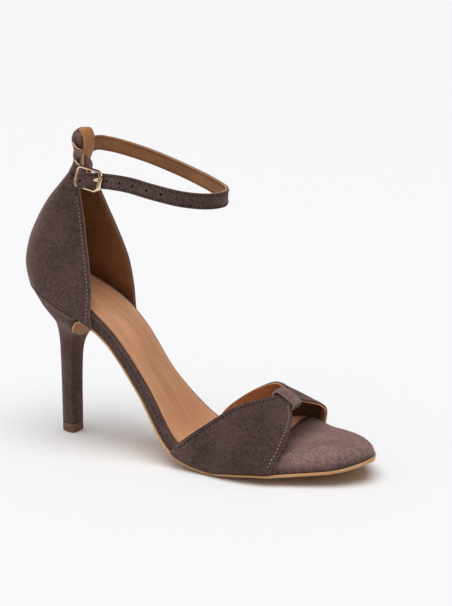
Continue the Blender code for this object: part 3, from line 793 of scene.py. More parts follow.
# %% Bow
BOW_EDGES = Table("across rear front", [
    (-1.0, 112.0, 173.2),
    (-0.75, 130.5, 176.4),
    (-0.5, 144.4, 176.3),
    (-0.25, 155.6, 173.0),
    (-0.1, 159.3, 168.2),
    (0.1, 159.1, 168.0),
    (0.25, 154.6, 172.6),
    (0.5, 143.0, 176.4),
    (0.75, 128.2, 176.4),
    (1.0, 110.0, 173.0),
])
VAMP_WALL, VAMP_LINING, VAMP_SEAT_GAP = 1.6, 0.55, 1.0
VAMP_CROWN_X, VAMP_CROWN_HEIGHT, VAMP_CROWN_RISE, VAMP_CROWN_SHIFT = 167.0, 28.4, 0.62, 6.0
VAMP_FULLNESS = {OUTER: 0.85, INNER: 0.72}
PLEAT_DEPTH, PLEAT_REACH, PLEATS = 0.3, 0.3, 2.5
INNER_SWELL, INNER_DRAW = 0.3, 3.0
BOW_TONE, CORNER_PALE, CORNER_WIDTH, CORNER_DEPTH = -0.12, 0.5, 0.16, 0.22
# The bow's lining carries painted light and shade: lit behind the rear edge, shaded towards the toes, a
# highlight on the front edge.
LINING_PAINTED_LIGHT, LINING_PAINTED_SHADE, LINING_EDGE_HIGHLIGHT = 0.5, 1.2, 2.2
SHADE_START, SHADE_FULL, PALE_EDGE_START = 0.1, 0.6, 0.93


def bow_surface(x, across, swell=0.0):
    angle = (across + 1) / 2 * pi
    side = side_of(across)
    base = half_width(x, side, VAMP_SEAT_GAP)
    height = VAMP_CROWN_HEIGHT + VAMP_CROWN_RISE * (VAMP_CROWN_X - x)
    arch = max(sin(angle), 0.0)
    y = -base * cos(angle) + VAMP_CROWN_SHIFT * arch
    return x, y, under_height(x) + GAP + height * arch ** (VAMP_FULLNESS[side] - swell)


def bow_shape(u, v):
    across = 2 * u - 1
    rear, front = BOW_EDGES.row(across)
    front -= INNER_DRAW * max(sin(pi * across), 0)
    x, y, z = bow_surface(rear + (front - rear) * v, across, INNER_SWELL * v if across > 0 else 0)
    gather = max(1 - abs(across) / PLEAT_REACH, 0) ** 2 * sin(pi * v)
    return x, y, z + PLEAT_DEPTH * gather * cos(2 * pi * PLEATS * v)


def bow_suede_tone(u, v):
    """Paler at the rear lower corner on the outer side, and a little darker over the whole bow."""
    return BOW_TONE + CORNER_PALE * max(1 - u / CORNER_WIDTH, 0) * max(1 - v / CORNER_DEPTH, 0) ** 0.5


def bow_lining_painted_light(u, v):
    """Painted light and shade: pale where light reaches in behind the rear edge, painted shade towards the
    toes, a painted highlight on the lit front edge.
    """
    lit = LINING_PAINTED_LIGHT - LINING_PAINTED_SHADE * ramp(v, SHADE_START, SHADE_FULL)
    return lit + LINING_EDGE_HIGHLIGHT * ramp(v, PALE_EDGE_START, 1)


layered("bow", "vamp", bow_shape, 180, 48, VAMP_WALL, VAMP_LINING, (bow_suede_tone, bow_lining_painted_light))

# %% [markdown]
# The pinch is held by a narrow suede band round the middle of the bow. It is a flat strip on a rounded
# rectangle, so a short grid is closed on itself and given its wall.

# %% Band round the bow
KNOT_WIDTH, KNOT_WALL, KNOT_HALF_LENGTH, KNOT_HALF_HEIGHT = 10.0, 1.3, 6.7, 2.5
KNOT_DROP, KNOT_ROUND, KNOT_PALE = 0.7, 0.4, 1.3


def knot_shape(u, v):
    middle = 0.5 * sum(BOW_EDGES.row(0))
    slope = hypot(1, VAMP_CROWN_RISE)
    along = Vector((1, 0, -VAMP_CROWN_RISE)) / slope
    out = Vector((VAMP_CROWN_RISE, 0, 1)) / slope
    centre = Vector(bow_surface(middle, 0)) + out * VAMP_WALL / 2
    c, s = cos(2 * pi * u), sin(2 * pi * u)
    a, b = copysign(sqrt(abs(c)), c), copysign(sqrt(abs(s)), s)
    across = 2 * v - 1
    place = centre + along * KNOT_HALF_LENGTH * a + out * (KNOT_HALF_HEIGHT * b - KNOT_DROP * across**2)
    return place.x, place.y + 0.5 * KNOT_WIDTH * across, place.z


knot_mesh = mapped_grid(knot_shape, columns=96, rows=10, tone_and_painted_light=lambda u, v: KNOT_PALE)
bmesh.ops.remove_doubles(knot_mesh, verts=knot_mesh.verts, dist=MERGE)
knot = piece("bow_band", knot_mesh, [SUEDE, SUEDE_CUT], "taupe_suede", "vamp_loop", sharp_degrees=80)
add_wall(knot, KNOT_WALL, -KNOT_WALL / 2, 1)
round_edges(knot, KNOT_ROUND)

# %% [markdown]
# ## Ankle strap
# The strap is one strip, suede outside and tan inside. It starts under the buckle, runs back through the
# loop behind the ankle, round the front of the leg and through the buckle again to its rounded tail. Its
# route is a short list of points, and a smooth curve through them gives a frame at each place: along, up
# the width, and inward to the leg.

# %% Strap route
STRAP_ROUTE = [
    (45.5, -13.2, 154.4), (40.6, -8.8, 157.0), (37.4, -2.8, 162.8), (36.6, 3.5, 168.4),
    (38.6, 10.5, 171.2), (42.2, 16.5, 170.4), (50.0, 21.0, 168.3), (66.0, 24.5, 163.7),
    (84.0, 25.5, 157.9), (102.0, 23.5, 152.1), (116.0, 17.5, 148.2), (124.8, 8.0, 147.0),
    (128.0, -3.0, 146.2), (123.5, -14.0, 146.2), (112.0, -20.8, 147.6), (96.0, -22.8, 150.4),
    (80.0, -21.4, 153.0), (64.0, -18.9, 153.7), (52.0, -17.9, 153.3), (44.2, -17.8, 152.6),
]
STRAP_LEAN, LEAN_TURNS, LEAN_START, LEAN_END = 0.2, 1.2, 90.0, 115.0
STRAP_STEPS = 480


def reach_along(points):
    """The length of a line of points from its start to each of them."""
    return np.concatenate([[0], np.cumsum(np.linalg.norm(np.diff(points, axis=0), axis=1))])


def smooth_route(points, count, fine_steps=16):
    points = [np.array(point, float) for point in points]
    padded = [2 * points[0] - points[1]] + points + [2 * points[-1] - points[-2]]
    fine = []
    for a, b, c, d in zip(padded, padded[1:], padded[2:], padded[3:]):
        for t in np.linspace(0, 1, fine_steps, endpoint=False):
            fine.append(b + 0.5 * t * (c - a + t * (2 * a - 5 * b + 4 * c - d + t * (3 * (b - c) + d - a))))
    fine = np.array(fine + [points[-1]])
    reach = reach_along(fine)
    places = np.linspace(0, reach[-1], count)
    return np.stack([np.interp(places, reach, column) for column in fine.T], axis=1), reach[-1]


STRAP_LINE, STRAP_LENGTH = smooth_route(STRAP_ROUTE, STRAP_STEPS + 1)


@functools.lru_cache(None)
def strap_frame(step):
    place = Vector(STRAP_LINE[step])
    along = Vector(STRAP_LINE[min(step + 1, STRAP_STEPS)] - STRAP_LINE[max(step - 1, 0)]).normalized()
    inward = along.cross(Vector((0, 0, 1))).normalized()
    lean = STRAP_LEAN * (1 - LEAN_TURNS * ramp(place.x, LEAN_START, LEAN_END))
    up = (Vector((0, 0, 1)) + inward * lean).normalized()
    up = (up - along * up.dot(along)).normalized()
    return place, along, up, along.cross(up)


print(f"strap {STRAP_LENGTH:.0f} mm long")

# %% [markdown]
# On that route the strip is a grid of one width that narrows at the tail, with two layers as the counter.

# %% Strap
STRAP_WIDTH, STRAP_WALL, STRAP_LINING, STRAP_LINING_PALE = 8.6, 1.8, 0.85, 0.15
STRAP_TIP_LENGTH, STRAP_TIP_SHARE = 2.2, 0.72


def strap_shape(u, v):
    place, _, up, _ = strap_frame(round(u * STRAP_STEPS))
    tip = STRAP_TIP_LENGTH / STRAP_LENGTH
    narrow = STRAP_TIP_SHARE + (1 - STRAP_TIP_SHARE) * end_round(1 - u, tip)
    return place + up * STRAP_WIDTH * narrow * (v - 0.5)


STRAP_TONES = (None, lambda u, v: STRAP_LINING_PALE)
STRAP_WALLS = (STRAP_WALL, STRAP_LINING)
strap_layers = layered(
    "strap", "ankle_strap", strap_shape, STRAP_STEPS, 6, *STRAP_WALLS, STRAP_TONES, base=-STRAP_WALL / 2
)

# %% [markdown]
# ## Loop behind the ankle
# A loop on top of the counter carries the strap. Its core is one strip: it rises from the counter, turns
# over at the top and runs down inside to the lining. Suede outside and tan from the bend on, it is a grid
# on a smooth route, wider where it shows.

# %% Core of the loop
LOOP_ROUTE = [
    (30.2, 157.5), (31.5, 160.4), (32.9, 164.4), (33.5, 169.6), (34.3, 175.2), (36.2, 179.4), (38.7, 179.4),
    (40.5, 175.4), (40.2, 168.5), (37.4, 161.5), (34.2, 155.2), (30.4, 149.7), (26.0, 145.7), (22.9, 143.6),
]
LOOP_WIDTH, LOOP_BASE_WIDTH, LOOP_END_WIDTH = 11.0, 8.0, 5.0
LOOP_FLARE_LENGTH, LOOP_TAPER_START = 8.0, 24.0
CORE_WALL, CORE_ROUND, CORE_ARCH, CORE_PALE = 1.52, 0.4, 0.3, 0.7
CORE_SHARE, CORE_WIDENS, CORE_FULL, CORE_SUEDE_END = 0.45, 20.0, 25.0, 24.5
LOOP_STEPS, LOOK_BACK, LOOK_AHEAD = 240, 6, 7
LOOP_LINE, LOOP_LENGTH = smooth_route(LOOP_ROUTE, LOOP_STEPS + 1)


def loop_frame(reach):
    """Place on the loop's middle line at a length along it, and its outward normal."""
    step = reach / LOOP_LENGTH * LOOP_STEPS
    i = min(max(int(step), 0), LOOP_STEPS - 1)
    place = LOOP_LINE[i] + (LOOP_LINE[i + 1] - LOOP_LINE[i]) * (step - i)
    near, far = LOOP_LINE[max(i - LOOK_BACK, 0)], LOOP_LINE[min(i + LOOK_AHEAD, LOOP_STEPS)]
    along = Vector((far[0] - near[0], 0, far[1] - near[1])).normalized()
    return Vector((place[0], 0, place[1])), Vector((-along.z, 0, along.x))


def loop_half_width(reach):
    full = LOOP_BASE_WIDTH + (LOOP_WIDTH - LOOP_BASE_WIDTH) * ramp(reach, 0, LOOP_FLARE_LENGTH)
    return (full - (LOOP_WIDTH - LOOP_END_WIDTH) * ramp(reach, LOOP_TAPER_START, LOOP_LENGTH)) / 2


def core_shape(u, v):
    reach = LOOP_LENGTH * u
    place, out = loop_frame(reach)
    half = loop_half_width(reach) * (CORE_SHARE + (1 - CORE_SHARE) * ramp(reach, CORE_WIDENS, CORE_FULL))
    across = 2 * v - 1
    return place + Vector((0, half * across, 0)) + out * CORE_ARCH * (1 - across**2)


def on_back_leg(u, v):
    """The outer half of the loop, up to the top of its bend, is suede."""
    return u * LOOP_LENGTH < CORE_SUEDE_END


print(f"loop {LOOP_LENGTH:.0f} mm long")
core_sheet = mapped_grid(core_shape, columns=120, rows=10, tone_and_painted_light=lambda u, v: CORE_PALE)
core = piece("loop_core", paint(core_sheet, 1, on_back_leg), [LINING, SUEDE], "loop_leather")
add_wall(core, CORE_WALL, -CORE_WALL / 2)
round_edges(core, CORE_ROUND)

# %% [markdown]
# At the foot of the loop the counter's suede is gathered to a root. It is a soft oval block whose front,
# rear and width are a table over its height.

# %% Root of the loop
ROOT = Table("z rear front half", [
    (149.0, 30.2, 35.6, 6.2),
    (153.5, 29.3, 38.0, 8.3),
    (156.5, 29.5, 39.0, 7.9),
    (159.5, 30.9, 38.6, 5.9),
    (163.0, 32.6, 37.0, 3.8),
    (166.0, 33.6, 36.0, 2.4),
])
ROOT_Y = -0.6


def root_rings(steps=24, points=36):
    rings = []
    for z in np.linspace(ROOT.key[0], ROOT.key[-1], steps + 1):
        rear, front, half = ROOT.row(z)
        middle, reach = 0.5 * (rear + front), 0.5 * (front - rear)
        rings.append([
            (middle + reach * cos(turn), ROOT_Y + half * sin(turn), z) for turn in turns(points)
        ])
    return rings


piece("loop_root", lofted(root_rings()), [SUEDE], "loop_leather")

# %% [markdown]
# Three strips rise from the root, wound round the core like a cord. Each is a flat oval carried along a
# stretched helix that fans out at the foot and tucks in at the top. It is tilted, so that one edge lies
# over the next strip and shows its tan cut as a second finish.

# %% Path of the wound strips
WOUND_ROUTE = [
    (37.0, -0.8, 153.5), (37.4, -1.2, 158.0), (36.6, -1.5, 163.3), (34.9, -1.5, 169.0),
    (34.7, -1.2, 173.4), (35.5, -0.8, 176.6), (37.6, -0.5, 178.6),
]
WOUND_STEPS, WOUND_LOOK = 140, 4
TWIST_PITCH, TWIST_HALF_WIDTH, TWIST_HALF_DEPTH = 30.0, 2.9, 2.2
TWIST_FAN, TWIST_FAN_LENGTH, TWIST_TUCK, TUCKED_SHARE = 0.6, 14.0, 4.0, 0.35
WOUND_LINE, WOUND_LENGTH = smooth_route(WOUND_ROUTE, WOUND_STEPS + 1)


def wound_angle(share, phase):
    return phase - 2 * pi * WOUND_LENGTH * share / TWIST_PITCH


def wound(step, phase):
    """Centre of a wound strip, the way it faces and how far the winding fans out, at one step."""
    near, far = WOUND_LINE[max(step - WOUND_LOOK, 0)], WOUND_LINE[min(step + WOUND_LOOK, WOUND_STEPS)]
    along = Vector(far - near).normalized()
    out = along.cross(Vector((0, 1, 0))).normalized()
    across = out.cross(along)
    reach = WOUND_LENGTH * step / WOUND_STEPS
    fan = 1 + TWIST_FAN * max(1 - reach / TWIST_FAN_LENGTH, 0)
    tuck = min(TUCKED_SHARE + (1 - TUCKED_SHARE) * (WOUND_LENGTH - reach) / TWIST_TUCK, 1)
    width, depth = TWIST_HALF_WIDTH * fan * tuck**0.5, TWIST_HALF_DEPTH * fan * tuck
    angle = wound_angle(step / WOUND_STEPS, phase)
    c, s = cos(angle), sin(angle)
    facing = across * depth * c + out * width * s
    return Vector(WOUND_LINE[step]) + across * width * c + out * depth * s, facing.normalized(), fan


print(f"winding {WOUND_LENGTH:.0f} mm long, one turn in {TWIST_PITCH:.0f} mm")

# %% [markdown]
# A strip's oval is set square to the path and tilted, and the strips start a third of a turn apart.

# %% Wound strips
WOUND_STRIPS, TWIST_PHASE = 3, -0.17
STRIP_HALF_WIDTH, STRIP_HALF_WALL, STRIP_POINTS = 2.9, 1.0, 24
# The strips' tone is painted light and shade: paler where they face the light, darker where one tucks under
# the next.
STRIP_TILT, STRIP_PAINTED_LIGHT, STRIP_PAINTED_SHADE = radians(24), 1.5, 2.0
CUT_EDGE, CUT_SHOWS = 0.96, 0.72


def strip_rings(phase):
    rings = []
    for step in range(WOUND_STEPS + 1):
        centre, facing, fan = wound(step, phase)
        ahead = wound(min(step + 1, WOUND_STEPS), phase)[0] - wound(max(step - 1, 0), phase)[0]
        side = ahead.cross(facing).normalized()
        out = side.cross(ahead).normalized()
        flat = (side * cos(STRIP_TILT) + out * sin(STRIP_TILT)) * STRIP_HALF_WIDTH * fan**0.5
        proud = (out * cos(STRIP_TILT) - side * sin(STRIP_TILT)) * STRIP_HALF_WALL
        rings.append([
            centre + flat * cos(turn) + proud * sin(turn) for turn in turns(STRIP_POINTS)
        ])
    return rings


def cut_edge_of(phase):
    """The tan cut of a strip is open where the strip crosses the front, and pressed flat behind."""
    def on_cut_edge(u, v):
        return cos(2 * pi * v) > CUT_EDGE and sin(wound_angle(u, phase)) < CUT_SHOWS

    return on_cut_edge


def strip_painted_light_and_shade(u, v):
    """Painted light on the raised half, and painted shade towards the edge that lies under the next strip."""
    return STRIP_PAINTED_LIGHT - STRIP_PAINTED_SHADE * max(-cos(2 * pi * v), 0)


for number in range(WOUND_STRIPS):
    phase = TWIST_PHASE + 2 * pi * number / WOUND_STRIPS
    mesh = paint(lofted(strip_rings(phase), tone_and_painted_light=strip_painted_light_and_shade), 1, cut_edge_of(phase))
    strip = piece(f"loop_strip_{number + 1}", mesh, [SUEDE, EDGE], "loop_leather")
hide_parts("heel_loop")

# %% [markdown]
# ## Buckle
# The buckle's frame is a bent gold wire. A circle is extruded along each side and spun round each corner,
# the way a bender makes it, and the free bar is thicker. The frame leans: its free bar lies over the strap
# and its heel bar under the tail, so a shear places it.

# %% Place of the buckle
BUCKLE_X, BUCKLE_LENGTH, BUCKLE_HEIGHT, BUCKLE_WIRE = 50.9, 22.0, 12.8, 0.95
BUCKLE_CLEARANCE, BUCKLE_TURN, BUCKLE_LIFT = 0.7, radians(13.0), 1.1
BUCKLE_DEPTH = STRAP_WALL / 2 + BUCKLE_CLEARANCE + BUCKLE_WIRE
HALF_LENGTH, HALF_HEIGHT = BUCKLE_LENGTH / 2 - BUCKLE_WIRE, BUCKLE_HEIGHT / 2 - BUCKLE_WIRE
STRAP_END = range(STRAP_STEPS * 3 // 4, STRAP_STEPS)
BUCKLE_STEP = min(STRAP_END, key=lambda step: abs(STRAP_LINE[step][0] - BUCKLE_X))


def buckle_matrix():
    """From the buckle's own plane, in millimetres, to its place on the strap."""
    place, along, up, inward = strap_frame(BUCKLE_STEP)
    turned_along = along * cos(BUCKLE_TURN) + up * sin(BUCKLE_TURN)
    turned_up = up * cos(BUCKLE_TURN) - along * sin(BUCKLE_TURN)
    leaning = turned_along + inward * BUCKLE_DEPTH / HALF_LENGTH
    turn = Matrix((leaning, turned_up, -inward)).transposed().to_4x4()
    return Matrix.Translation(to_scene(place + up * BUCKLE_LIFT)) @ Matrix.Scale(MM, 4) @ turn


print(f"buckle at step {BUCKLE_STEP} of {STRAP_STEPS} along the strap")

# %% [markdown]
# The bending goes once round: up one side, a quarter turn, and so on to the start, where the ends merge.

# %% Buckle frame
BUCKLE_CORNER, CORNER_STEPS, WIRE_POINTS, WIRE_MERGE = 2.6, 8, 16, 1e-3
FREE_BAR_WIDER, FREE_BAR_DEEPER = 1.0, 0.4
MIRRORS_DARK = Vector((0, 0.62, 0.78))
DARK_STARTS, DARK_FULL, DARK_MOST = 0.7, 0.82, 0.97
SIDE, TOP = HALF_LENGTH - BUCKLE_CORNER, HALF_HEIGHT - BUCKLE_CORNER


def of_kind(items, kind):
    return [item for item in items if isinstance(item, kind)]


def bent_wire():
    bm = bmesh.new()
    upright = Matrix.Translation((HALF_LENGTH, -TOP, 0)) @ Matrix.Rotation(radians(90), 4, "X")
    ring = bmesh.ops.create_circle(bm, segments=WIRE_POINTS, radius=BUCKLE_WIRE, matrix=upright)
    edges = list({edge for vert in ring["verts"] for edge in vert.link_edges})
    corners = (((0, 2 * TOP), (SIDE, TOP)), ((-2 * SIDE, 0), (-SIDE, TOP)))
    corners += (((0, -2 * TOP), (-SIDE, -TOP)), ((2 * SIDE, 0), (SIDE, -TOP)))
    quarter = {"angle": radians(90), "axis": (0, 0, 1), "steps": CORNER_STEPS, "use_merge": False}
    for run, centre in corners:
        grown = bmesh.ops.extrude_edge_only(bm, edges=edges)["geom"]
        moved = of_kind(grown, bmesh.types.BMVert)
        bmesh.ops.translate(bm, verts=moved, vec=(*run, 0))
        end = moved + of_kind(grown, bmesh.types.BMEdge)
        spun = bmesh.ops.spin(bm, geom=end, cent=(*centre, 0), **quarter)["geom_last"]
        edges = of_kind(spun, bmesh.types.BMEdge)
    bmesh.ops.remove_doubles(bm, verts=bm.verts, dist=WIRE_MERGE)
    bmesh.ops.recalc_face_normals(bm, faces=bm.faces)
    return bm


def buckle_frame():
    bm = bent_wire()
    for vert in bm.verts:
        at_free_bar = ramp(-vert.co.x, SIDE, HALF_LENGTH)
        from_middle = min(max(vert.co.x + HALF_LENGTH, -BUCKLE_WIRE), BUCKLE_WIRE)
        vert.co.x += FREE_BAR_WIDER * from_middle * at_free_bar
        vert.co.z *= 1 + FREE_BAR_DEEPER * at_free_bar
    bm.normal_update()
    # Painted reflection: faces that would mirror the dark studio get dark gold.
    dark = bm.verts.layers.float.new("tone_and_painted_light")
    for vert in bm.verts:
        vert[dark] = DARK_MOST * ramp(vert.normal.dot(MIRRORS_DARK), DARK_STARTS, DARK_FULL)
    bmesh.ops.transform(bm, matrix=buckle_matrix(), verts=bm.verts)
    return bm


piece("buckle_wire", buckle_frame(), [GOLD], "pale_gold", "buckle_frame")

# %% [markdown]
# The prong is a thinner wire with a rounded end. It climbs from the strap onto the free bar, so rings are
# lofted along a short curve in the strap's own frame.

# %% Prong
PRONG_ROUTE = [(-5.2, -0.3), (-6.0, 0.1), (-7.4, 0.8), (-9.0, 1.0), (-10.6, 0.95)]
PRONG_WIRE, PRONG_FLATTENED, PRONG_TIP_SHARE, PRONG_TIP_STEPS = 0.75, 1.25, 0.35, 6


def prong_rings(points=14, count=40):
    over_strap = STRAP_WALL / 2 + GAP + PRONG_WIRE
    climb = BUCKLE_DEPTH + BUCKLE_WIRE + GAP + PRONG_WIRE - over_strap
    line, _ = smooth_route([(x, over_strap + rise * climb) for x, rise in PRONG_ROUTE], count + 1)
    place, along, up, inward = strap_frame(BUCKLE_STEP)
    rings = []
    for i, (x, height) in enumerate(line):
        radius = PRONG_WIRE * min(1, PRONG_TIP_SHARE + end_round(count - i, PRONG_TIP_STEPS))
        ring = []
        for turn in turns(points):
            out = height + radius * cos(turn)
            ring.append(place + along * x - inward * out + up * PRONG_FLATTENED * radius * sin(turn))
        rings.append(ring)
    return rings


piece("buckle_pin", lofted(prong_rings()), [GOLD], "pale_gold", "buckle_prong")

# %% [markdown]
# ## Stitches and holes
# Seams run just inside the cut edges. A stitch is a short thread that dips into the leather at both ends,
# so one small stretched ball, half sunk, is enough. All stitches of a seam are one mesh, spaced evenly
# along its line.

# %% Stitch maker
STITCH_PITCH, STITCH_PROUD, STITCH_LOOK = 2.2, 0.06, 0.4
SEAM_LEAD, SEAM_SAMPLES, SEAM_INSET = 1.5, 400, 2.3
BALL_COLUMNS, BALL_ROWS, SMOOTH_ALL_ROUND = 6, 5, 180


def sew(name, places, thread, slot, radius=0.28, length=1.05):
    """places holds (point, along, normal) of each stitch, in the table's millimetres."""
    bm = bmesh.new()
    for point, along, normal in places:
        side = normal.cross(along).normalized()
        axes = Matrix((side * radius, normal * radius, along * length / 2)).transposed().to_4x4()
        place = Matrix.Translation(to_scene(point)) @ Matrix.Scale(MM, 4) @ axes
        bmesh.ops.create_uvsphere(bm, u_segments=BALL_COLUMNS, v_segments=BALL_ROWS, radius=1, matrix=place)
    piece(name, bm, [thread], slot, sharp_degrees=SMOOTH_ALL_ROUND)
    print(f"{name}: {len(places)} stitches")


def seam(line):
    """Places at one pitch along line(t), which gives a point and a normal for t from 0 to 1."""
    spots = [line(i / SEAM_SAMPLES) for i in range(SEAM_SAMPLES + 1)]
    points, normals = (np.array([spot[k] for spot in spots]) for k in (0, 1))
    reach = reach_along(points)

    def read(values, distance):
        return Vector([np.interp(distance, reach, column) for column in values.T])

    places = []
    for distance in np.arange(SEAM_LEAD, reach[-1] - SEAM_LEAD, STITCH_PITCH):
        normal = read(normals, distance).normalized()
        along = read(points, distance + STITCH_LOOK) - read(points, distance - STITCH_LOOK)
        places.append((read(points, distance) + normal * STITCH_PROUD, along.normalized(), normal))
    return places


def skin(shape, u, v, thickness, step=0.004):
    """A point on the outside of a wall and its outward normal there."""
    centre = Vector(shape(u, v))
    across = Vector(shape(min(u + step, 1), v)) - Vector(shape(max(u - step, 0), v))
    upward = Vector(shape(u, min(v + step, 1))) - Vector(shape(u, max(v - step, 0)))
    normal = upward.cross(across).normalized()
    return centre + normal * thickness, normal


print(f"stitches {STITCH_PITCH} mm apart, {SEAM_INSET} mm inside the edge")

# %% [markdown]
# The counter is sewn up both front edges. Outside the thread is pale, and dark near the loop; on the
# lining it is tan.

# %% Seams of the counter
COUNTER_SEAM_LOW, COUNTER_SEAM_RUN, EDGE_PROBE = 0.04, 0.95, 0.02
DARK_ABOVE = 143.0


def counter_seam(side, thickness):
    """Runs up the front edge on one side, a fixed distance inside it, on the outside or the lining."""
    def line(t):
        v = COUNTER_SEAM_LOW + COUNTER_SEAM_RUN * t
        edge = 0.0 if side == OUTER else 1.0
        width = (Vector(counter_shape(edge, v)) - Vector(counter_shape(abs(edge - EDGE_PROBE), v))).length
        u = abs(edge - EDGE_PROBE * SEAM_INSET / width)
        point, normal = skin(counter_shape, u, v, thickness)
        return point, normal if thickness > 0 else -normal

    return seam(line)


outside = counter_seam(OUTER, COUNTER_WALL) + counter_seam(INNER, COUNTER_WALL)
upper = [stitch for stitch in outside if stitch[0].z > DARK_ABOVE]
lower = [stitch for stitch in outside if stitch[0].z <= DARK_ABOVE]
sew("counter_upper_stitches", upper, DARK_THREAD_AND_HOLE_SHADE, "taupe_suede")
sew("counter_stitches", lower, PALE_THREAD, "taupe_suede")
sew("counter_lining_stitches", counter_seam(OUTER, 0) + counter_seam(INNER, 0), TAN_THREAD, "sock_leather")

# %% [markdown]
# The bow is sewn along its front edge in pale thread and along its rear edge in dark thread. Both seams
# stop short of the band.

# %% Seams of the bow
FRONT_EDGE, REAR_EDGE = 1, 0
BOW_SEAM_SPANS = ((0.02, 0.44), (0.56, 0.98))


def bow_seam(edge, first, last):
    def line(t):
        u = first + (last - first) * t
        width = (Vector(bow_shape(u, 1)) - Vector(bow_shape(u, 0))).length
        return skin(bow_shape, u, abs(edge - SEAM_INSET / width), VAMP_WALL)

    return seam(line)


front_seam, rear_seam = (
    sum((bow_seam(edge, *span) for span in BOW_SEAM_SPANS), []) for edge in (FRONT_EDGE, REAR_EDGE)
)
sew("bow_front_stitches", front_seam, PALE_THREAD, "taupe_suede", radius=0.34, length=1.15)
sew("bow_rear_stitches", rear_seam, DARK_THREAD_AND_HOLE_SHADE, "taupe_suede", radius=0.38, length=1.3)

# %% [markdown]
# The strap has two rows, which go through both layers, so each is sewn on the suede and on the lining.

# %% Seams of the strap
STRAP_SEAM_INSET, STRAP_SEAM_START, STRAP_SEAM_RUN = 1.25, 0.012, 0.97


def strap_seam(across, face):
    """across is -1 or 1 for the lower or upper row, face is -1 outside and 1 on the lining."""
    def line(t):
        u = STRAP_SEAM_START + STRAP_SEAM_RUN * t
        place, _, up, inward = strap_frame(round(u * STRAP_STEPS))
        row = up * across * (STRAP_WIDTH / 2 - STRAP_SEAM_INSET)
        return place + row + inward * face * STRAP_WALL / 2, inward * face

    return seam(line)


outer_rows, lining_rows = (strap_seam(-1, face) + strap_seam(1, face) for face in (-1, 1))
sew("strap_stitches", outer_rows, DARK_THREAD_AND_HOLE_SHADE, "taupe_suede", radius=0.32, length=1.2)
sew("strap_lining_stitches", lining_rows, DARK_THREAD_AND_HOLE_SHADE, "sock_leather", radius=0.26, length=1.2)

# %% [markdown]
# The strap's holes are punched: round cutters go into both sheets, and a Boolean takes them out. The
# cutters carry the dark thread's finish, which the Boolean hands on: painted shade on the holes' walls and
# floors.

# %% Strap holes
FIRST_HOLE, HOLE_PITCH, HOLES, HOLE_RADIUS, HOLE_FLOOR, HOLE_POINTS = 2.6, 9.2, 7, 0.75, 0.12, 16
punch_size = {
    "segments": HOLE_POINTS,
    "radius1": HOLE_RADIUS * MM,
    "radius2": HOLE_RADIUS * MM,
    "depth": (STRAP_WALL - HOLE_FLOOR) * MM,
}
cutters = bmesh.new()
for number in range(HOLES):
    step = round((1 - (FIRST_HOLE + number * HOLE_PITCH) / STRAP_LENGTH) * STRAP_STEPS)
    place, along, up, inward = strap_frame(step)
    turn = Matrix((along, up, inward)).transposed().to_4x4()
    for side in (-1, 1):
        centre = to_scene(place + inward * side * (HOLE_FLOOR / 2 + STRAP_WALL / 2))
        matrix = Matrix.Translation(centre) @ turn
        bmesh.ops.create_cone(cutters, cap_ends=True, matrix=matrix, **punch_size)
# The dark finish of the cutters is painted shade inside the holes.
cutter = new_object("hole_cutters", new_mesh("hole_cutters", cutters, [DARK_THREAD_AND_HOLE_SHADE]))
cutter.hide_render = True
cutter.display_type = "WIRE"
for layer in strap_layers:
    punch = layer.modifiers.new("Holes", "BOOLEAN")
    punch.object = cutter
    punch.operation = "DIFFERENCE"
    punch.material_mode = "TRANSFER"
print(f"{HOLES} holes, {HOLE_PITCH} mm apart")

# %% [markdown]
# ## Floor, light and camera
# A product photo has a pale floor without an edge. Here the floor is a very large plane of matt paper.

# %% Floor
FLOOR_SIZE = 80.0
FLOOR_PAPER = {"Base Color": (0.845, 0.845, 0.855, 1), "Roughness": 0.9, "Specular IOR Level": 0.1}
floor_sheet = bmesh.new()
bmesh.ops.create_grid(floor_sheet, x_segments=1, y_segments=1, size=FLOOR_SIZE)
paper, paper_tree, paper_shader = new_finish("floor_paper")
feed(paper_tree, paper_shader, FLOOR_PAPER)
floor = new_object("floor", new_mesh("floor", floor_sheet, [paper]))
print(f"floor {2 * FLOOR_SIZE:.0f} m wide")

# %% [markdown]
# The light is soft: a wide sun stands almost overhead, a little to the outer side, and a room that is
# brighter above the heel fills the shadows as white walls would.

# %% Light
BRIGHT_SIDE = (-0.62, -0.2, 0.76)
ROOM = {"From Min": -0.5, "From Max": 0.9, "To Min": 0.0, "To Max": 0.55}
KEY_AZIMUTH, KEY_ELEVATION = radians(20), radians(80)
KEY_STRENGTH, KEY_SPREAD = 2.3, radians(60)


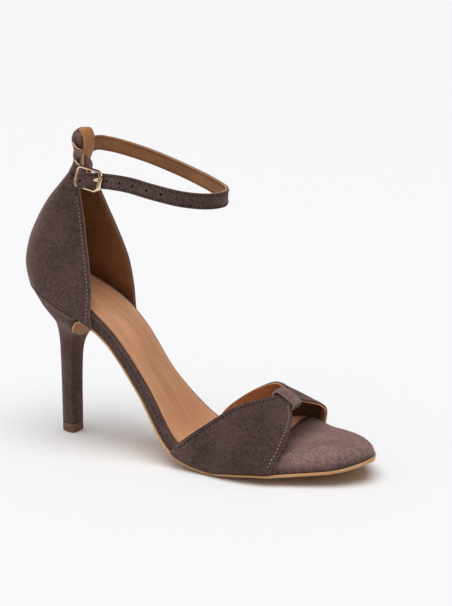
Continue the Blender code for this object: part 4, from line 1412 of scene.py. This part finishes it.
def seen_from(azimuth, elevation):
    """The direction from the shoe to a light or camera: azimuth 0 is the outer side, 90 the toe."""
    flat = cos(elevation)
    return Vector((sin(azimuth) * flat, -cos(azimuth) * flat, sin(elevation)))


world = bpy.data.worlds.new("studio")
world.use_nodes = True
bpy.context.scene.world = world
room = world.node_tree
towards = {0: add_node(room, "TexCoord", {}).outputs["Generated"], 1: BRIGHT_SIDE}
facing = add_node(room, "VectorMath", towards, operation="DOT_PRODUCT").outputs["Value"]
brightness = add_node(room, "MapRange", {"Value": facing, **ROOM}, interpolation_type="SMOOTHSTEP")
white = {"Color": (1.0, 1.0, 1.0, 1), "Strength": brightness.outputs["Result"]}
feed(room, room.nodes["Background"], white)
key = bpy.data.lights.new("key", "SUN")
key.energy = KEY_STRENGTH
key.angle = KEY_SPREAD
sun = new_object("key", key)
sun.rotation_euler = seen_from(KEY_AZIMUTH, KEY_ELEVATION).to_track_quat("Z", "Y").to_euler()
bpy.context.scene.view_settings.view_transform = "Standard"
print(f"key light {degrees(KEY_ELEVATION):.0f} degrees up, {degrees(KEY_SPREAD):.0f} degrees wide")

# %% [markdown]
# The camera looks from the outer front, a little above the shoe. A long lens keeps the lines calm.

# %% Camera
AZIMUTH, ELEVATION, ROLL = radians(27.83), radians(12.31), radians(0.19)
CAMERA_DISTANCE, LENS, SENSOR = 0.7802, 84.04, 36.0
AIM, SHIFT = Vector((0.10306, 0.00036, 0.08875)), (0.00147, -0.00139)
NEAREST, FARTHEST = 0.01, 500.0
lens = bpy.data.cameras.new("camera")
lens.lens, lens.sensor_width = LENS, SENSOR
lens.shift_x, lens.shift_y = SHIFT
lens.clip_start, lens.clip_end = NEAREST, FARTHEST
back = seen_from(AZIMUTH, ELEVATION)
camera = new_object("camera", lens)
camera.location = AIM + back * CAMERA_DISTANCE
level = back.to_track_quat("Z", "Y").to_matrix()
camera.rotation_euler = (level @ Matrix.Rotation(ROLL, 3, "Z")).to_euler()
bpy.context.scene.camera = camera
print(f"camera {CAMERA_DISTANCE} m away, {LENS} mm lens")
